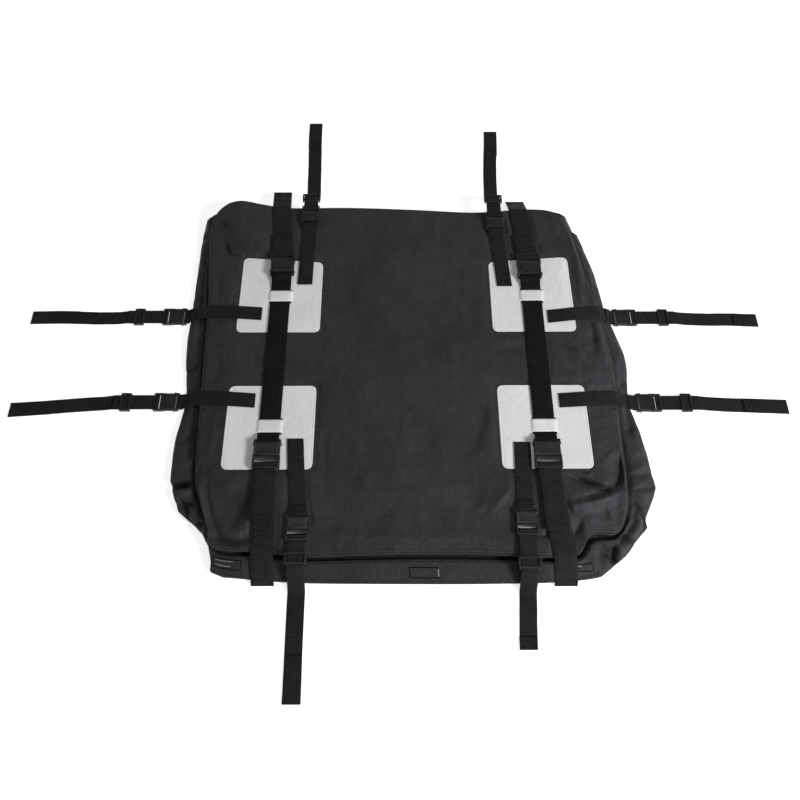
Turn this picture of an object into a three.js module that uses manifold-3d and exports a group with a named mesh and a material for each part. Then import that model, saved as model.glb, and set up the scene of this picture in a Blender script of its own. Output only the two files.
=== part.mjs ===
// Soft roof cargo bag, lying flat and empty with its lashing straps spread out around it.
// Millimetres, +Z up. The origin is the middle of the bag's underside, and the front is -Y.
import * as THREE from 'three';
import { mergeVertices } from 'three/addons/utils/BufferGeometryUtils.js';
import Module from 'manifold-3d';

const wasm = await Module();
wasm.setup();

// Clearances
const SEAT_GAP = 0.3;
const LAYER_GAP = 0.3;
const FLOOR_GAP = 0.2;
const DRAPE_GAP = 0.45;

// Bag body: its size along X and Y, and the heights and depths of its parts
const BAG = { width: 1112, depth: 1066 };
const PANEL_HEIGHT = 45;
const PANEL_CROWN = 4;
const CREASE_DEPTH = 9;
const CREASE_SHARE = 0.16;
const GUSSET_BULGE = 3;
const BASE_INSET = 11;
const STATION_STEPS = 3;
// The underside's facets meet here, clear of the origin, so that the origin lies inside one of them.
const UNDERSIDE_HUB = [150, 90];

// Each station pairs a point of the top panel's seam with the widest point of the wall below it, as
// [x, y, z], anticlockwise from the front left corner. In plan the outline is scaled to the bag's size, and
// so are the folds and the places of the patches and straps below.
const STATIONS = [
  { seam: [-423, -468, 37], edge: [-430, -512, 7] },
  { seam: [-335, -479, 40], edge: [-342, -532, 6] },
  { seam: [-214, -490, 41], edge: [-222, -540, 6] },
  { seam: [-110, -487, 41], edge: [-103, -542, 6] },
  { seam: [20, -485, 41], edge: [25, -543, 6] },
  { seam: [146, -486, 41], edge: [155, -543, 6] },
  { seam: [272, -492, 41], edge: [281, -541, 6] },
  { seam: [362, -489, 40], edge: [372, -536, 7] },
  { seam: [422, -478, 38], edge: [428, -525, 10] },
  { seam: [466, -447, 37], edge: [482, -486, 13] },
  { seam: [488, -380, 36], edge: [532, -415, 15] },
  { seam: [495, -305, 35], edge: [563, -328, 15] },
  { seam: [497, -215, 34], edge: [553, -205, 12] },
  { seam: [500, -110, 34], edge: [537, -105, 8] },
  { seam: [501, 15, 34], edge: [543, 15, 11] },
  { seam: [484, 150, 34], edge: [514, 152, 11] },
  { seam: [460, 290, 35], edge: [494, 292, 11] },
  { seam: [440, 400, 36], edge: [468, 402, 11] },
  { seam: [405, 466, 37], edge: [428, 474, 12] },
  { seam: [330, 478, 37], edge: [335, 491, 13] },
  { seam: [190, 467, 37], edge: [190, 481, 13] },
  { seam: [27, 477, 37], edge: [27, 491, 13] },
  { seam: [-150, 485, 37], edge: [-150, 499, 13] },
  { seam: [-315, 484, 38], edge: [-315, 500, 13] },
  { seam: [-385, 492, 43], edge: [-388, 511, 14] },
  { seam: [-455, 500, 50], edge: [-462, 523, 15] },
  { seam: [-504, 470, 46], edge: [-517, 489, 14] },
  { seam: [-524, 405, 36], edge: [-548, 425, 12] },
  { seam: [-515, 290, 34], edge: [-549, 290, 11] },
  { seam: [-503, 170, 34], edge: [-549, 165, 11] },
  { seam: [-498, 40, 34], edge: [-548, 30, 11] },
  { seam: [-491, -95, 34], edge: [-534, -98, 8] },
  { seam: [-486, -215, 34], edge: [-545, -220, 13] },
  { seam: [-477, -315, 35], edge: [-541, -318, 16] },
  { seam: [-461, -366, 36], edge: [-512, -378, 14] },
  { seam: [-443, -415, 36], edge: [-459, -430, 13] },
];

const spanOf = (axis) => {
  const values = STATIONS.map((station) => station.edge[axis]);
  return Math.max(...values) - Math.min(...values);
};
const scaleX = BAG.width / spanOf(0);
const scaleY = BAG.depth / spanOf(1);

// Shares of the way from the seam to the middle of the panel where the top has a ring of points.
const PANEL_RINGS = [0.05, 0.11, 0.19, 0.29, 0.42, 0.57, 0.74, 0.9];
const CROWN_SHARE = 0.16;
const CALM_MARGIN = 26;
const CALM_FADE = 34;
const RIM_START = 470;
const RIM_RUN = 200;

// Folds of the top: a crest or, with a negative height, a valley between two points.
const FOLDS = [
  { from: [-470, 470], to: [-395, 360], width: 60, height: 11 },
  { from: [-500, 430], to: [-462, 240], width: 34, height: 6 },
  { from: [-492, 20], to: [-462, -60], width: 34, height: 4 },
  { from: [-480, -190], to: [-430, -390], width: 42, height: 7 },
  { from: [-445, -300], to: [-395, -430], width: 40, height: -7 },
  { from: [-180, -430], to: [60, -400], width: 60, height: -4 },
  { from: [-150, 60], to: [30, -180], width: 70, height: -4 },
  { from: [120, 330], to: [20, 120], width: 80, height: -4 },
  { from: [-130, 420], to: [110, 400], width: 70, height: -5 },
  { from: [100, -250], to: [190, -440], width: 50, height: -4 },
  { from: [355, -315], to: [470, -330], width: 34, height: -8 },
  { from: [360, -390], to: [478, -330], width: 40, height: 8 },
  { from: [490, -300], to: [470, -430], width: 40, height: 6 },
  { from: [370, -437], to: [455, -450], width: 34, height: -9 },
  { from: [455, 20], to: [490, -200], width: 36, height: 5 },
  { from: [420, 400], to: [455, 240], width: 44, height: 6 },
  { from: [395, 440], to: [250, 455], width: 40, height: -5 },
];

// Zip flap over the front wall
const FLAP_THICKNESS = 1.6;
const FLAP_FIRST_STATION = 0;
const FLAP_LAST_STATION = 7;
const FLAP_SHARES = [0.08, 0.5, 0.97];

// Reinforcement patches
const PATCH = { width: 208, length: 216, x: 319, y: 184, corner: 16, thickness: 1.4, rim: 5, rimHeight: 0.5 };
const PATCH_SKEW = 16;
const PATCH_SAMPLE_STEP = 4;
const BAND = { length: 33, slit: 5, thickness: 1.4, sideRoom: 3, foot: 4, dip: 0.6 };
const patchX = PATCH.x * scaleX;
const patchY = PATCH.y * scaleY;

// Webbing
const WIDE = {
  width: 50, thickness: 1.8, bodyRail: 6, buckleLength: 72, buckleThickness: 13, returnLength: 14,
};
const NARROW = {
  width: 38, thickness: 1.4, bodyRail: 4.5, buckleLength: 61, buckleThickness: 11, returnLength: 22,
};
const SAMPLE_STEP = 2;
const TOUCH_SEARCH = 120;
const TOUCH_RUN = 18;
const BEND = 0.7;
const LEVEL_RUN = 6;
const WIDE_LEVEL_RUN = 8;
const RETURN_GAP = 9;
const RETURN_REACH = 1.5;
const FOLD_TURN = 0.6;

// Buckle mouldings
const BAR_LENGTH = 4;
const SLOT_LENGTH = 3.6;
const HOUSING_WALL = 1.8;
const BEVEL = 1;
const SLOT_SIDE_ROOM = 1.3;
const BAR_THICKNESS = 3.4;
const END_BAR_THICKNESS = 3.6;
const MIDDLE_BAR_THICKNESS = 2.8;
const PRONG_WIDTH = 4.6;
const PRONG_GAP = 0.35;
const PRONG_TIP = { gap: 1.2, barb: 7, hook: 2, taper: 1, lean: 1.5 };
const PRONG_ROOT = 2;
const MOUTH_SHARE = 0.08;
const MOUTH_GAP = 0.4;
const MOUTH_COLLAR = 5;
const GUIDE = { width: 9, tipGap: 3 };
const EAR = { start: 1, reach: 1.2, flank: 1.5, length: 5 };
const SHOULDER = { length: 3, inset: 2 };
const WAIST_DEPTH = 1.6;
const WINDOW_EDGE = 0.8;
const SCOOP = { start: 3, side: 7, depth: 0.5 };
const CROWN = { start: 9, end: 5, mouthDrop: 0.8, barDrop: 2 };
const RAMP_DROP = 2;
const MALE_CORNER = 2;
const CUT = 1;

// Tri-glides
const GLIDE = { length: 26, rail: 3.6, bar: 4.4, barThickness: 2.4, bevel: 0.6, corner: 3 };

// Wide straps: distance of the middle of each buckle from the middle of the bag, and of the ends.
const WIDE_STRAPS = [
  { side: 'left', x: -PATCH.x, backBuckle: 281, frontBuckle: 258, backEnd: 556, frontEnd: 545, backDrift: -22,
    frontDrift: 5, backFreeEnd: 372, frontFreeEnd: 417 },
  { side: 'right', x: PATCH.x, backBuckle: 271, frontBuckle: 259, backEnd: 530, frontEnd: 547, backDrift: -14,
    frontDrift: 22, backFreeEnd: 368, frontFreeEnd: 440 },
];

// Narrow straps. Sewn is how far each anchor reaches in over its patch from the patch's outer side. The
// distances run outward from the middle of the bag: the middle of the buckle and of the tri-glide, the seam
// of the end loop and the far end. The drifts are how far the anchor's start and the tail's end lie to the
// side of the buckle, along +X or +Y.
const NARROW_STRAPS = [
  { name: 'front_left', way: 'front', across: -240, sewn: 75, buckle: 430, glide: 499, seam: 689, end: 784,
    startDrift: -17, endDrift: 3, slack: 2 },
  { name: 'front_right', way: 'front', across: 259, sewn: 65, buckle: 419, glide: 510, seam: 652, end: 679,
    startDrift: 5, endDrift: -8, slack: 2 },
  { name: 'back_left', way: 'back', across: -256, sewn: 72, buckle: 449, glide: 509, seam: 743, end: 845,
    startDrift: -3, endDrift: -8, slack: 2 },
  { name: 'back_right', way: 'back', across: 240, sewn: 79, buckle: 425, glide: 503, seam: 713, end: 809,
    startDrift: 13, endDrift: 13, slack: 2 },
  { name: 'left_back', way: 'left', across: 150, sewn: 61, buckle: 593, glide: 684, seam: 841, end: 962,
    startDrift: -20, endDrift: 0, slack: 18 },
  { name: 'left_front', way: 'left', across: -98, sewn: 65, buckle: 581, glide: 680, seam: 860, end: 958,
    startDrift: -19, endDrift: -18, slack: 18 },
  { name: 'right_back', way: 'right', across: 143, sewn: 68, buckle: 560, glide: 659, seam: 838, end: 900,
    startDrift: -24, endDrift: -6, slack: 18 },
  { name: 'right_front', way: 'right', across: -104, sewn: 63, buckle: 584, glide: 676, seam: 814, end: 920,
    startDrift: -15, endDrift: -9, slack: 18 },
];

// Where each way out of the bag points, and which way +X or +Y lies as seen along it.
const WAYS = {
  front: { angle: -Math.PI / 2, alongX: true, sideSign: 1 },
  back: { angle: Math.PI / 2, alongX: true, sideSign: -1 },
  right: { angle: 0, alongX: false, sideSign: 1 },
  left: { angle: Math.PI, alongX: false, sideSign: -1 },
};

// Materials
const FABRIC = new THREE.MeshStandardMaterial({ color: 0x35373b, roughness: 0.62, metalness: 0 });
const FLAP_FABRIC = new THREE.MeshStandardMaterial({ color: 0x2f3134, roughness: 0.66, metalness: 0 });
const PATCH_FABRIC = new THREE.MeshStandardMaterial({ color: 0xcfcfd2, roughness: 0.6, metalness: 0 });
const WEBBING = new THREE.MeshStandardMaterial({ color: 0x17181a, roughness: 0.85, metalness: 0 });
const MOULDING = new THREE.MeshStandardMaterial({ color: 0x101113, roughness: 0.35, metalness: 0 });

const model = new THREE.Group();

// Geometry helpers

function mesh(name, geometry, material, parent = model) {
  const piece = new THREE.Mesh(geometry, material);
  piece.name = name;
  parent.add(piece);
  return piece;
}

function toSolid(geometry) {
  const plain = geometry.clone();
  plain.deleteAttribute('normal');
  plain.deleteAttribute('uv');
  const merged = mergeVertices(plain, 1e-4);
  const shape = new wasm.Mesh({
    numProp: 3,
    vertProperties: new Float32Array(merged.attributes.position.array),
    triVerts: new Uint32Array(merged.index.array),
  });
  return new wasm.Manifold(shape);
}

function toGeometry(solid) {
  const shape = solid.getMesh();
  const geometry = new THREE.BufferGeometry();
  geometry.setAttribute('position', new THREE.BufferAttribute(new Float32Array(shape.vertProperties), 3));
  geometry.setIndex(new THREE.BufferAttribute(new Uint32Array(shape.triVerts), 1));
  const flat = geometry.toNonIndexed();
  flat.computeVertexNormals();
  return flat;
}

// A block between two corners.
function block([x0, y0, z0], [x1, y1, z1]) {
  const geometry = new THREE.BoxGeometry(x1 - x0, y1 - y0, z1 - z0);
  geometry.translate((x0 + x1) / 2, (y0 + y1) / 2, (z0 + z1) / 2);
  return toSolid(geometry);
}

// A polygon in plan with each corner rounded to the given radius.
function roundedShape(corners, radius, segments) {
  const shape = new THREE.Shape();
  const count = corners.length;
  corners.forEach((corner, i) => {
    const here = new THREE.Vector2(...corner);
    const before = new THREE.Vector2(...corners[(i + count - 1) % count]).sub(here).normalize();
    const after = new THREE.Vector2(...corners[(i + 1) % count]).sub(here).normalize();
    const halfAngle = Math.acos(before.dot(after)) / 2;
    const reach = radius / Math.tan(halfAngle);
    const enter = here.clone().addScaledVector(before, reach);
    const leave = here.clone().addScaledVector(after, reach);
    for (let k = 0; k <= segments; k += 1) {
      const t = k / segments;
      const first = enter.clone().lerp(here, t);
      const second = here.clone().lerp(leave, t);
      const point = first.lerp(second, t);
      if (i === 0 && k === 0) {
        shape.moveTo(point.x, point.y);
      } else {
        shape.lineTo(point.x, point.y);
      }
    }
  });
  return shape;
}

// A plate of even thickness between two heights, with its rim chamfered by the bevel.
function plate(shape, low, high, bevel = 0) {
  const geometry = new THREE.ExtrudeGeometry(shape, {
    depth: high - low - 2 * bevel,
    bevelEnabled: bevel > 0,
    bevelThickness: bevel,
    bevelSize: bevel,
    bevelOffset: -bevel,
    bevelSegments: 1,
    curveSegments: 4,
  });
  geometry.translate(0, 0, low + bevel);
  return toSolid(geometry);
}

// The line at a distance to the left of another, with mitred corners.
function offsetLine(line, distance) {
  return line.map(([u, w], i) => {
    const [u0, w0] = line[Math.max(i - 1, 0)];
    const [u1, w1] = line[Math.min(i + 1, line.length - 1)];
    const before = new THREE.Vector2(u - u0, w - w0);
    const after = new THREE.Vector2(u1 - u, w1 - w);
    if (before.length() === 0) before.copy(after);
    if (after.length() === 0) after.copy(before);
    before.normalize();
    after.normalize();
    const middle = before.clone().add(after).normalize();
    const reach = distance / Math.max(middle.dot(before), 0.5);
    return [u - middle.y * reach, w + middle.x * reach];
  });
}

// Flat webbing that follows a centre line in the plane of its length and height. The drift moves it
// sideways by an amount that depends on the length alone.
function webbingGeometry(line, size, drift = () => 0) {
  const left = offsetLine(line, size.thickness / 2);
  const right = offsetLine(line, -size.thickness / 2).reverse();
  const outline = [...left, ...right].map(([u, w]) => new THREE.Vector2(u, w));
  const shape = new THREE.Shape(outline);
  const geometry = new THREE.ExtrudeGeometry(shape, { depth: size.width, bevelEnabled: false });
  geometry.rotateX(Math.PI / 2);
  geometry.translate(0, size.width / 2, 0);
  const position = geometry.attributes.position;
  for (let i = 0; i < position.count; i += 1) {
    position.setY(i, position.getY(i) + drift(position.getX(i)));
  }
  geometry.computeVertexNormals();
  return geometry;
}

// The part of a line between two lengths, with points added at both.
function lineBetween(line, from, to) {
  const heightAt = (u) => {
    const i = Math.max(1, line.findIndex((point) => point[0] >= u));
    const [u0, w0] = line[i - 1];
    const [u1, w1] = line[i];
    return THREE.MathUtils.mapLinear(u, u0, u1, w0, w1);
  };
  const inside = line.filter(([u]) => u > from + 1 && u < to - 1);
  return [[from, heightAt(from)], ...inside, [to, heightAt(to)]];
}

// The chain of points that a taut strap keeps when it is pulled over a row of heights.
function upperHull(points) {
  const hull = [];
  points.forEach((point) => {
    while (hull.length > 1) {
      const [u0, w0] = hull[hull.length - 2];
      const [u1, w1] = hull[hull.length - 1];
      const turn = (u1 - u0) * (point[1] - w0) - (w1 - w0) * (point[0] - u0);
      if (turn < -0.02) break;
      hull.pop();
    }
    hull.push(point);
  });
  return hull;
}

// Surfaces that straps and buckles lie on
const supports = [];

function addSupport(piece) {
  piece.updateWorldMatrix(true, false);
  const position = piece.geometry.attributes.position;
  const index = piece.geometry.index;
  const count = index ? index.count : position.count;
  const corner = (k) => {
    const point = new THREE.Vector3().fromBufferAttribute(position, index ? index.getX(k) : k);
    return point.applyMatrix4(piece.matrixWorld);
  };
  for (let k = 0; k < count; k += 3) {
    const [a, b, c] = [corner(k), corner(k + 1), corner(k + 2)];
    const area = (b.x - a.x) * (c.y - a.y) - (c.x - a.x) * (b.y - a.y);
    if (area > 1e-6) supports.push({ a, b, c, area });
  }
}

function topAt(x, y) {
  let top = 0;
  supports.forEach(({ a, b, c, area }) => {
    if (x < Math.min(a.x, b.x, c.x) || x > Math.max(a.x, b.x, c.x)) return;
    if (y < Math.min(a.y, b.y, c.y) || y > Math.max(a.y, b.y, c.y)) return;
    const shareA = ((b.x - x) * (c.y - y) - (c.x - x) * (b.y - y)) / area;
    const shareB = ((c.x - x) * (a.y - y) - (a.x - x) * (c.y - y)) / area;
    const shareC = 1 - shareA - shareB;
    if (shareA < 0 || shareB < 0 || shareC < 0) return;
    top = Math.max(top, shareA * a.z + shareB * b.z + shareC * c.z);
  });
  return top;
}

// A frame whose local X runs outward along a strap.
function strapFrame(way, across) {
  const { angle, alongX, sideSign } = WAYS[way];
  const group = new THREE.Group();
  group.rotation.z = angle;
  group.position.set(alongX ? across : 0, alongX ? 0 : across, 0);
  model.add(group);
  group.updateWorldMatrix(true, false);
  const toWorld = (u, v) => new THREE.Vector3(u, v, 0).applyMatrix4(group.matrixWorld);
  const heightAt = (u, v) => {
    const point = toWorld(u, v);
    return topAt(point.x, point.y);
  };
  return { group, heightAt, sideSign };
}

// The highest support under a strap of the given width, at one length along it.
function heightUnder(frame, u, width, drift = () => 0) {
  const offsets = [-0.52, -0.26, 0, 0.26, 0.52].map((share) => share * width);
  return Math.max(...offsets.map((v) => frame.heightAt(u, v + drift(u))));
}

function restHeight(frame, from, to, width) {
  let top = 0;
  for (let u = from; u <= to; u += SAMPLE_STEP) {
    top = Math.max(top, heightUnder(frame, u, width));
  }
  return Math.max(top, heightUnder(frame, to, width));
}

// Centre line of a strap laid tightly over the supports between two lengths. A height given for an end is
// that of the centre line there; without one, the strap lies on what is under it.
function drape(frame, size, from, to, { fromHeight, toHeight, drift } = {}) {
  const lift = DRAPE_GAP + size.thickness / 2;
  const points = [];
  const steps = Math.ceil((to - from) / SAMPLE_STEP);
  for (let k = 0; k <= steps; k += 1) {
    const u = from + ((to - from) * k) / steps;
    points.push([u, heightUnder(frame, u, size.width, drift)]);
  }
  if (fromHeight !== undefined) points[0][1] = fromHeight - lift;
  if (toHeight !== undefined) points[steps][1] = toHeight - lift;
  const line = offsetLine(upperHull(points), lift);
  line[0] = [from, points[0][1] + lift];
  line[line.length - 1] = [to, points[steps][1] + lift];
  return line.filter(([u]) => u >= from && u <= to);
}

// Where a strap that leaves its level stretch reaches the ground, a little past the last support.
function groundTouch(frame, from, drift) {
  let last = from;
  for (let u = from; u < from + TOUCH_SEARCH; u += SAMPLE_STEP) {
    if (heightUnder(frame, u, NARROW.width, drift) > 0) last = u;
  }
  return last + TOUCH_RUN;
}

// Bag shell

function smooth(t) {
  const s = THREE.MathUtils.clamp(t, 0, 1);
  return s * s * (3 - 2 * s);
}

function foldHeight(x, y) {
  return FOLDS.reduce((sum, { from, to, width, height }) => {
    const along = new THREE.Vector2((to[0] - from[0]) * scaleX, (to[1] - from[1]) * scaleY);
    const point = new THREE.Vector2(x - from[0] * scaleX, y - from[1] * scaleY);
    const share = THREE.MathUtils.clamp(point.dot(along) / along.lengthSq(), 0, 1);
    const away = point.addScaledVector(along, -share).length() / width;
    return sum + height * (1 - smooth(away));
  }, 0);
}

// How far a point is from the flat ground under patches and straps, from 0 on it to 1 well away.
function freeOfPatches(x, y) {
  const beyondX = Math.abs(Math.abs(x) - patchX) - PATCH.width / 2;
  const beyondY = Math.abs(y) - patchY - PATCH.length / 2 - PATCH_SKEW;
  return smooth((Math.max(beyondX, beyondY) - CALM_MARGIN) / CALM_FADE);
}

function panelTop(x, y) {
  const crown = PANEL_CROWN * smooth(1 - Math.abs(x) / (patchX - PATCH.width / 2));
  const lengthShare = smooth((RIM_START * scaleY - Math.abs(y)) / RIM_RUN);
  return PANEL_HEIGHT + crown * lengthShare + foldHeight(x, y) * freeOfPatches(x, y);
}

function closedCurve(key) {
  const points = STATIONS.map((station) => {
    const [x, y, z] = station[key];
    return new THREE.Vector3(x * scaleX, y * scaleY, z);
  });
  return new THREE.CatmullRomCurve3(points, true, 'catmullrom', 0.5);
}

// Rings of points from the base up over the wall and in to the middle of the panel.
function bagRings() {
  const count = STATIONS.length * STATION_STEPS;
  const seamCurve = closedCurve('seam');
  const edgeCurve = closedCurve('edge');
  const middle = new THREE.Vector3(0, 0, 0);
  const walls = [];
  const rings = { base: [], edge: [], bulge: [], crease: [], seam: [], top: PANEL_RINGS.map(() => []) };
  for (let i = 0; i < count; i += 1) {
    const seam = seamCurve.getPoint(i / count);
    const edge = edgeCurve.getPoint(i / count);
    const inward = middle.clone().sub(edge).setZ(0).normalize();
    const base = edge.clone().addScaledVector(inward, BASE_INSET).setZ(0);
    const crease = seam.clone().lerp(edge, CREASE_SHARE);
    crease.z = seam.z - CREASE_DEPTH;
    const bulge = crease.clone().lerp(edge, 0.5);
    bulge.z += GUSSET_BULGE;
    rings.base.push(base);
    rings.edge.push(edge);
    rings.bulge.push(bulge);
    rings.crease.push(crease);
    rings.seam.push(seam);
    walls.push([crease, bulge, edge]);
    PANEL_RINGS.forEach((share, k) => {
      const point = seam.clone().lerp(middle, share);
      const settle = smooth(share / CROWN_SHARE);
      point.z = THREE.MathUtils.lerp(seam.z, panelTop(point.x, point.y), settle);
      rings.top[k].push(point);
    });
  }
  return { rings, walls };
}

// One closed body from rings of equal length, closed by a point below the first and above the last.
function loftGeometry(rings, first, last) {
  const count = rings[0].length;
  const vertices = [first, ...rings.flat(), last];
  const at = (ring, i) => 1 + ring * count + ((i + count) % count);
  const triangles = [];
  for (let i = 0; i < count; i += 1) {
    triangles.push(0, at(0, i + 1), at(0, i));
    for (let ring = 0; ring < rings.length - 1; ring += 1) {
      triangles.push(at(ring, i), at(ring, i + 1), at(ring + 1, i + 1));
      triangles.push(at(ring, i), at(ring + 1, i + 1), at(ring + 1, i));
    }
    triangles.push(at(rings.length - 1, i), at(rings.length - 1, i + 1), vertices.length - 1);
  }
  const geometry = new THREE.BufferGeometry().setFromPoints(vertices);
  geometry.setIndex(triangles);
  geometry.computeVertexNormals();
  return geometry;
}

const { rings: bag, walls } = bagRings();
const bagGeometry = loftGeometry(
  [bag.base, bag.edge, bag.bulge, bag.crease, bag.seam, ...bag.top],
  new THREE.Vector3(...UNDERSIDE_HUB, 0),
  new THREE.Vector3(0, 0, panelTop(0, 0)),
);
addSupport(mesh('bag_shell', bagGeometry, FABRIC));

// Zip flap

// A point of the front wall, given as a share of the way from the crease to the edge, and the direction
// out of the wall there.
function wallPoint([crease, bulge, edge], share) {
  const upper = share < 0.5;
  const start = upper ? crease : bulge;
  const end = upper ? bulge : edge;
  const point = start.clone().lerp(end, upper ? share * 2 : share * 2 - 1);
  const slope = edge.clone().sub(crease).normalize();
  const alongFront = new THREE.Vector3(1, 0, 0);
  const outward = alongFront.cross(slope).normalize();
  if (outward.z < 0) outward.negate();
  return { point, outward };
}

function flapGeometry() {
  const from = FLAP_FIRST_STATION * STATION_STEPS;
  const to = FLAP_LAST_STATION * STATION_STEPS;
  const sections = walls.slice(from, to + 1).map((wall) => {
    const places = FLAP_SHARES.map((share) => wallPoint(wall, share));
    const inner = places.map(({ point, outward }) => point.clone().addScaledVector(outward, SEAT_GAP));
    const lift = SEAT_GAP + FLAP_THICKNESS;
    const outer = places.map(({ point, outward }) => point.clone().addScaledVector(outward, lift));
    return [...outer, ...inner.reverse()];
  });
  const count = sections[0].length;
  const triangles = [];
  const at = (section, k) => section * count + (k % count);
  for (let s = 0; s < sections.length - 1; s += 1) {
    for (let k = 0; k < count; k += 1) {
      triangles.push(at(s, k), at(s, k + 1), at(s + 1, k + 1));
      triangles.push(at(s, k), at(s + 1, k + 1), at(s + 1, k));
    }
  }
  const last = sections.length - 1;
  [[0, 5, 4], [0, 4, 1], [1, 4, 3], [1, 3, 2]].forEach(([a, b, c]) => {
    triangles.push(at(0, a), at(0, b), at(0, c));
    triangles.push(at(last, a), at(last, c), at(last, b));
  });
  const geometry = new THREE.BufferGeometry().setFromPoints(sections.flat());
  geometry.setIndex(triangles);
  geometry.computeVertexNormals();
  return geometry;
}

addSupport(mesh('zip_flap', flapGeometry(), FLAP_FABRIC));

// Patches

const bandLift = SEAT_GAP + WIDE.thickness + SEAT_GAP;
const windowWidth = WIDE.width + 2 * BAND.sideRoom;

function patchGeometry(signX, signY) {
  const halfWidth = PATCH.width / 2;
  const halfLength = PATCH.length / 2;
  const skew = signY > 0 ? PATCH_SKEW : 0;
  const corners = [
    [-halfWidth, -halfLength],
    [halfWidth, -halfLength],
    [halfWidth, halfLength + (signX > 0 ? skew : 0)],
    [-halfWidth, halfLength + (signX < 0 ? skew : 0)],
  ];
  const inner = corners.map(([x, y]) => [x - Math.sign(x) * PATCH.rim, y - Math.sign(y) * PATCH.rim]);
  const full = PATCH.thickness + PATCH.rimHeight;
  const body = plate(roundedShape(corners, PATCH.corner, 3), 0, full);
  const field = plate(roundedShape(inner, PATCH.corner - PATCH.rim, 3), PATCH.thickness, full + CUT);
  const windowHalf = windowWidth / 2;
  const windowLength = BAND.length / 2 + BAND.slit;
  const gap = block([-windowHalf, -windowLength, -CUT], [windowHalf, windowLength, full + CUT]);
  return { sheet: body.subtract(field).subtract(gap), windowHalf };
}

// The band that holds the wide strap down, arched from one side of the window to the other.
function bandSolid(windowHalf) {
  const rise = bandLift - SEAT_GAP;
  const shoulder = windowHalf - BAND.sideRoom + 1;
  const under = [
    [-windowHalf - BAND.foot, 0],
    [-windowHalf, 0],
    [-shoulder, rise],
    [shoulder, rise],
    [windowHalf, 0],
    [windowHalf + BAND.foot, 0],
  ];
  const over = offsetLine(under, BAND.thickness);
  over[0][1] = BAND.thickness;
  over[over.length - 1][1] = BAND.thickness;
  const shape = new THREE.Shape([...under, ...over.reverse()].map(([x, z]) => new THREE.Vector2(x, z)));
  const geometry = new THREE.ExtrudeGeometry(shape, { depth: BAND.length, bevelEnabled: false });
  geometry.rotateX(Math.PI / 2);
  geometry.translate(0, BAND.length / 2, 0);
  return toSolid(geometry);
}

// The highest point of the supports under a rectangle in plan.
function highestUnder(centreX, centreY, width, length) {
  let top = 0;
  for (let x = centreX - width / 2; x <= centreX + width / 2; x += PATCH_SAMPLE_STEP) {
    for (let y = centreY - length / 2; y <= centreY + length / 2; y += PATCH_SAMPLE_STEP) {
      top = Math.max(top, topAt(x, y));
    }
  }
  return top;
}

const PATCH_ROWS = [['back', 1], ['front', -1]];
const PATCH_COLUMNS = [['left', -1], ['right', 1]];
const patchBases = [1, -1].flatMap((signY) => [-1, 1].map((signX) => (
  highestUnder(signX * patchX, signY * patchY, PATCH.width, PATCH.length + 2 * PATCH_SKEW)
)));
const patchBase = Math.max(...patchBases) + SEAT_GAP;
const patchTop = patchBase + PATCH.thickness + PATCH.rimHeight;
const patches = [];
PATCH_ROWS.forEach(([end, signY]) => {
  PATCH_COLUMNS.forEach(([side, signX]) => {
    const { sheet, windowHalf } = patchGeometry(signX, signY);
    const whole = sheet.add(bandSolid(windowHalf));
    const piece = mesh(`patch_${end}_${side}`, toGeometry(whole), PATCH_FABRIC);
    piece.position.set(signX * patchX, signY * patchY, patchBase);
    patches.push(piece);
  });
});

patches.forEach(addSupport);

// Buckles

// The sizes that both halves and the webbing through them share. The middle plane of the buckle is at
// height 0, and the ladder bars stand above the two layers of webbing that leave under them.
function buckleSizes(size) {
  const half = size.buckleLength / 2;
  const top = size.buckleThickness / 2;
  const endBarLow = top - END_BAR_THICKNESS;
  const upperLayer = endBarLow - SEAT_GAP - size.thickness / 2;
  const lowerLayer = upperLayer - size.thickness - LAYER_GAP;
  const middleBarLow = lowerLayer + size.thickness / 2 + SEAT_GAP;
  const endBarStart = half - BAR_LENGTH;
  const middleBarEnd = endBarStart - SLOT_LENGTH;
  const middleBarStart = middleBarEnd - BAR_LENGTH;
  return {
    half,
    top,
    bodyHalf: size.width / 2 + size.bodyRail,
    slotHalf: size.width / 2 + SLOT_SIDE_ROOM,
    channelHalf: size.width / 2 + size.bodyRail - HOUSING_WALL - 1,
    channelTop: top - HOUSING_WALL,
    mouth: size.buckleLength * MOUTH_SHARE,
    endBarLow,
    upperLayer,
    lowerLayer,
    middleBarLow,
    middleBarHigh: middleBarLow + MIDDLE_BAR_THICKNESS,
    endBarStart,
    middleBarEnd,
    middleBarStart,
    ladderStart: middleBarStart - SLOT_LENGTH,
    femaleSlotStart: -half + BAR_LENGTH,
    femaleSlotEnd: -half + BAR_LENGTH + SLOT_LENGTH,
  };
}

// What lies under a line of lengths and heights, across the whole width of a buckle.
function underLine(line, size) {
  const low = -size.buckleThickness;
  const outline = [[line[0][0], low], ...line, [line[line.length - 1][0], low]];
  const shape = new THREE.Shape(outline.map(([u, z]) => new THREE.Vector2(u, z)).reverse());
  const width = 2 * size.width;
  const geometry = new THREE.ExtrudeGeometry(shape, { depth: width, bevelEnabled: false });
  geometry.rotateX(Math.PI / 2);
  geometry.translate(0, width / 2, 0);
  return toSolid(geometry);
}

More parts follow.
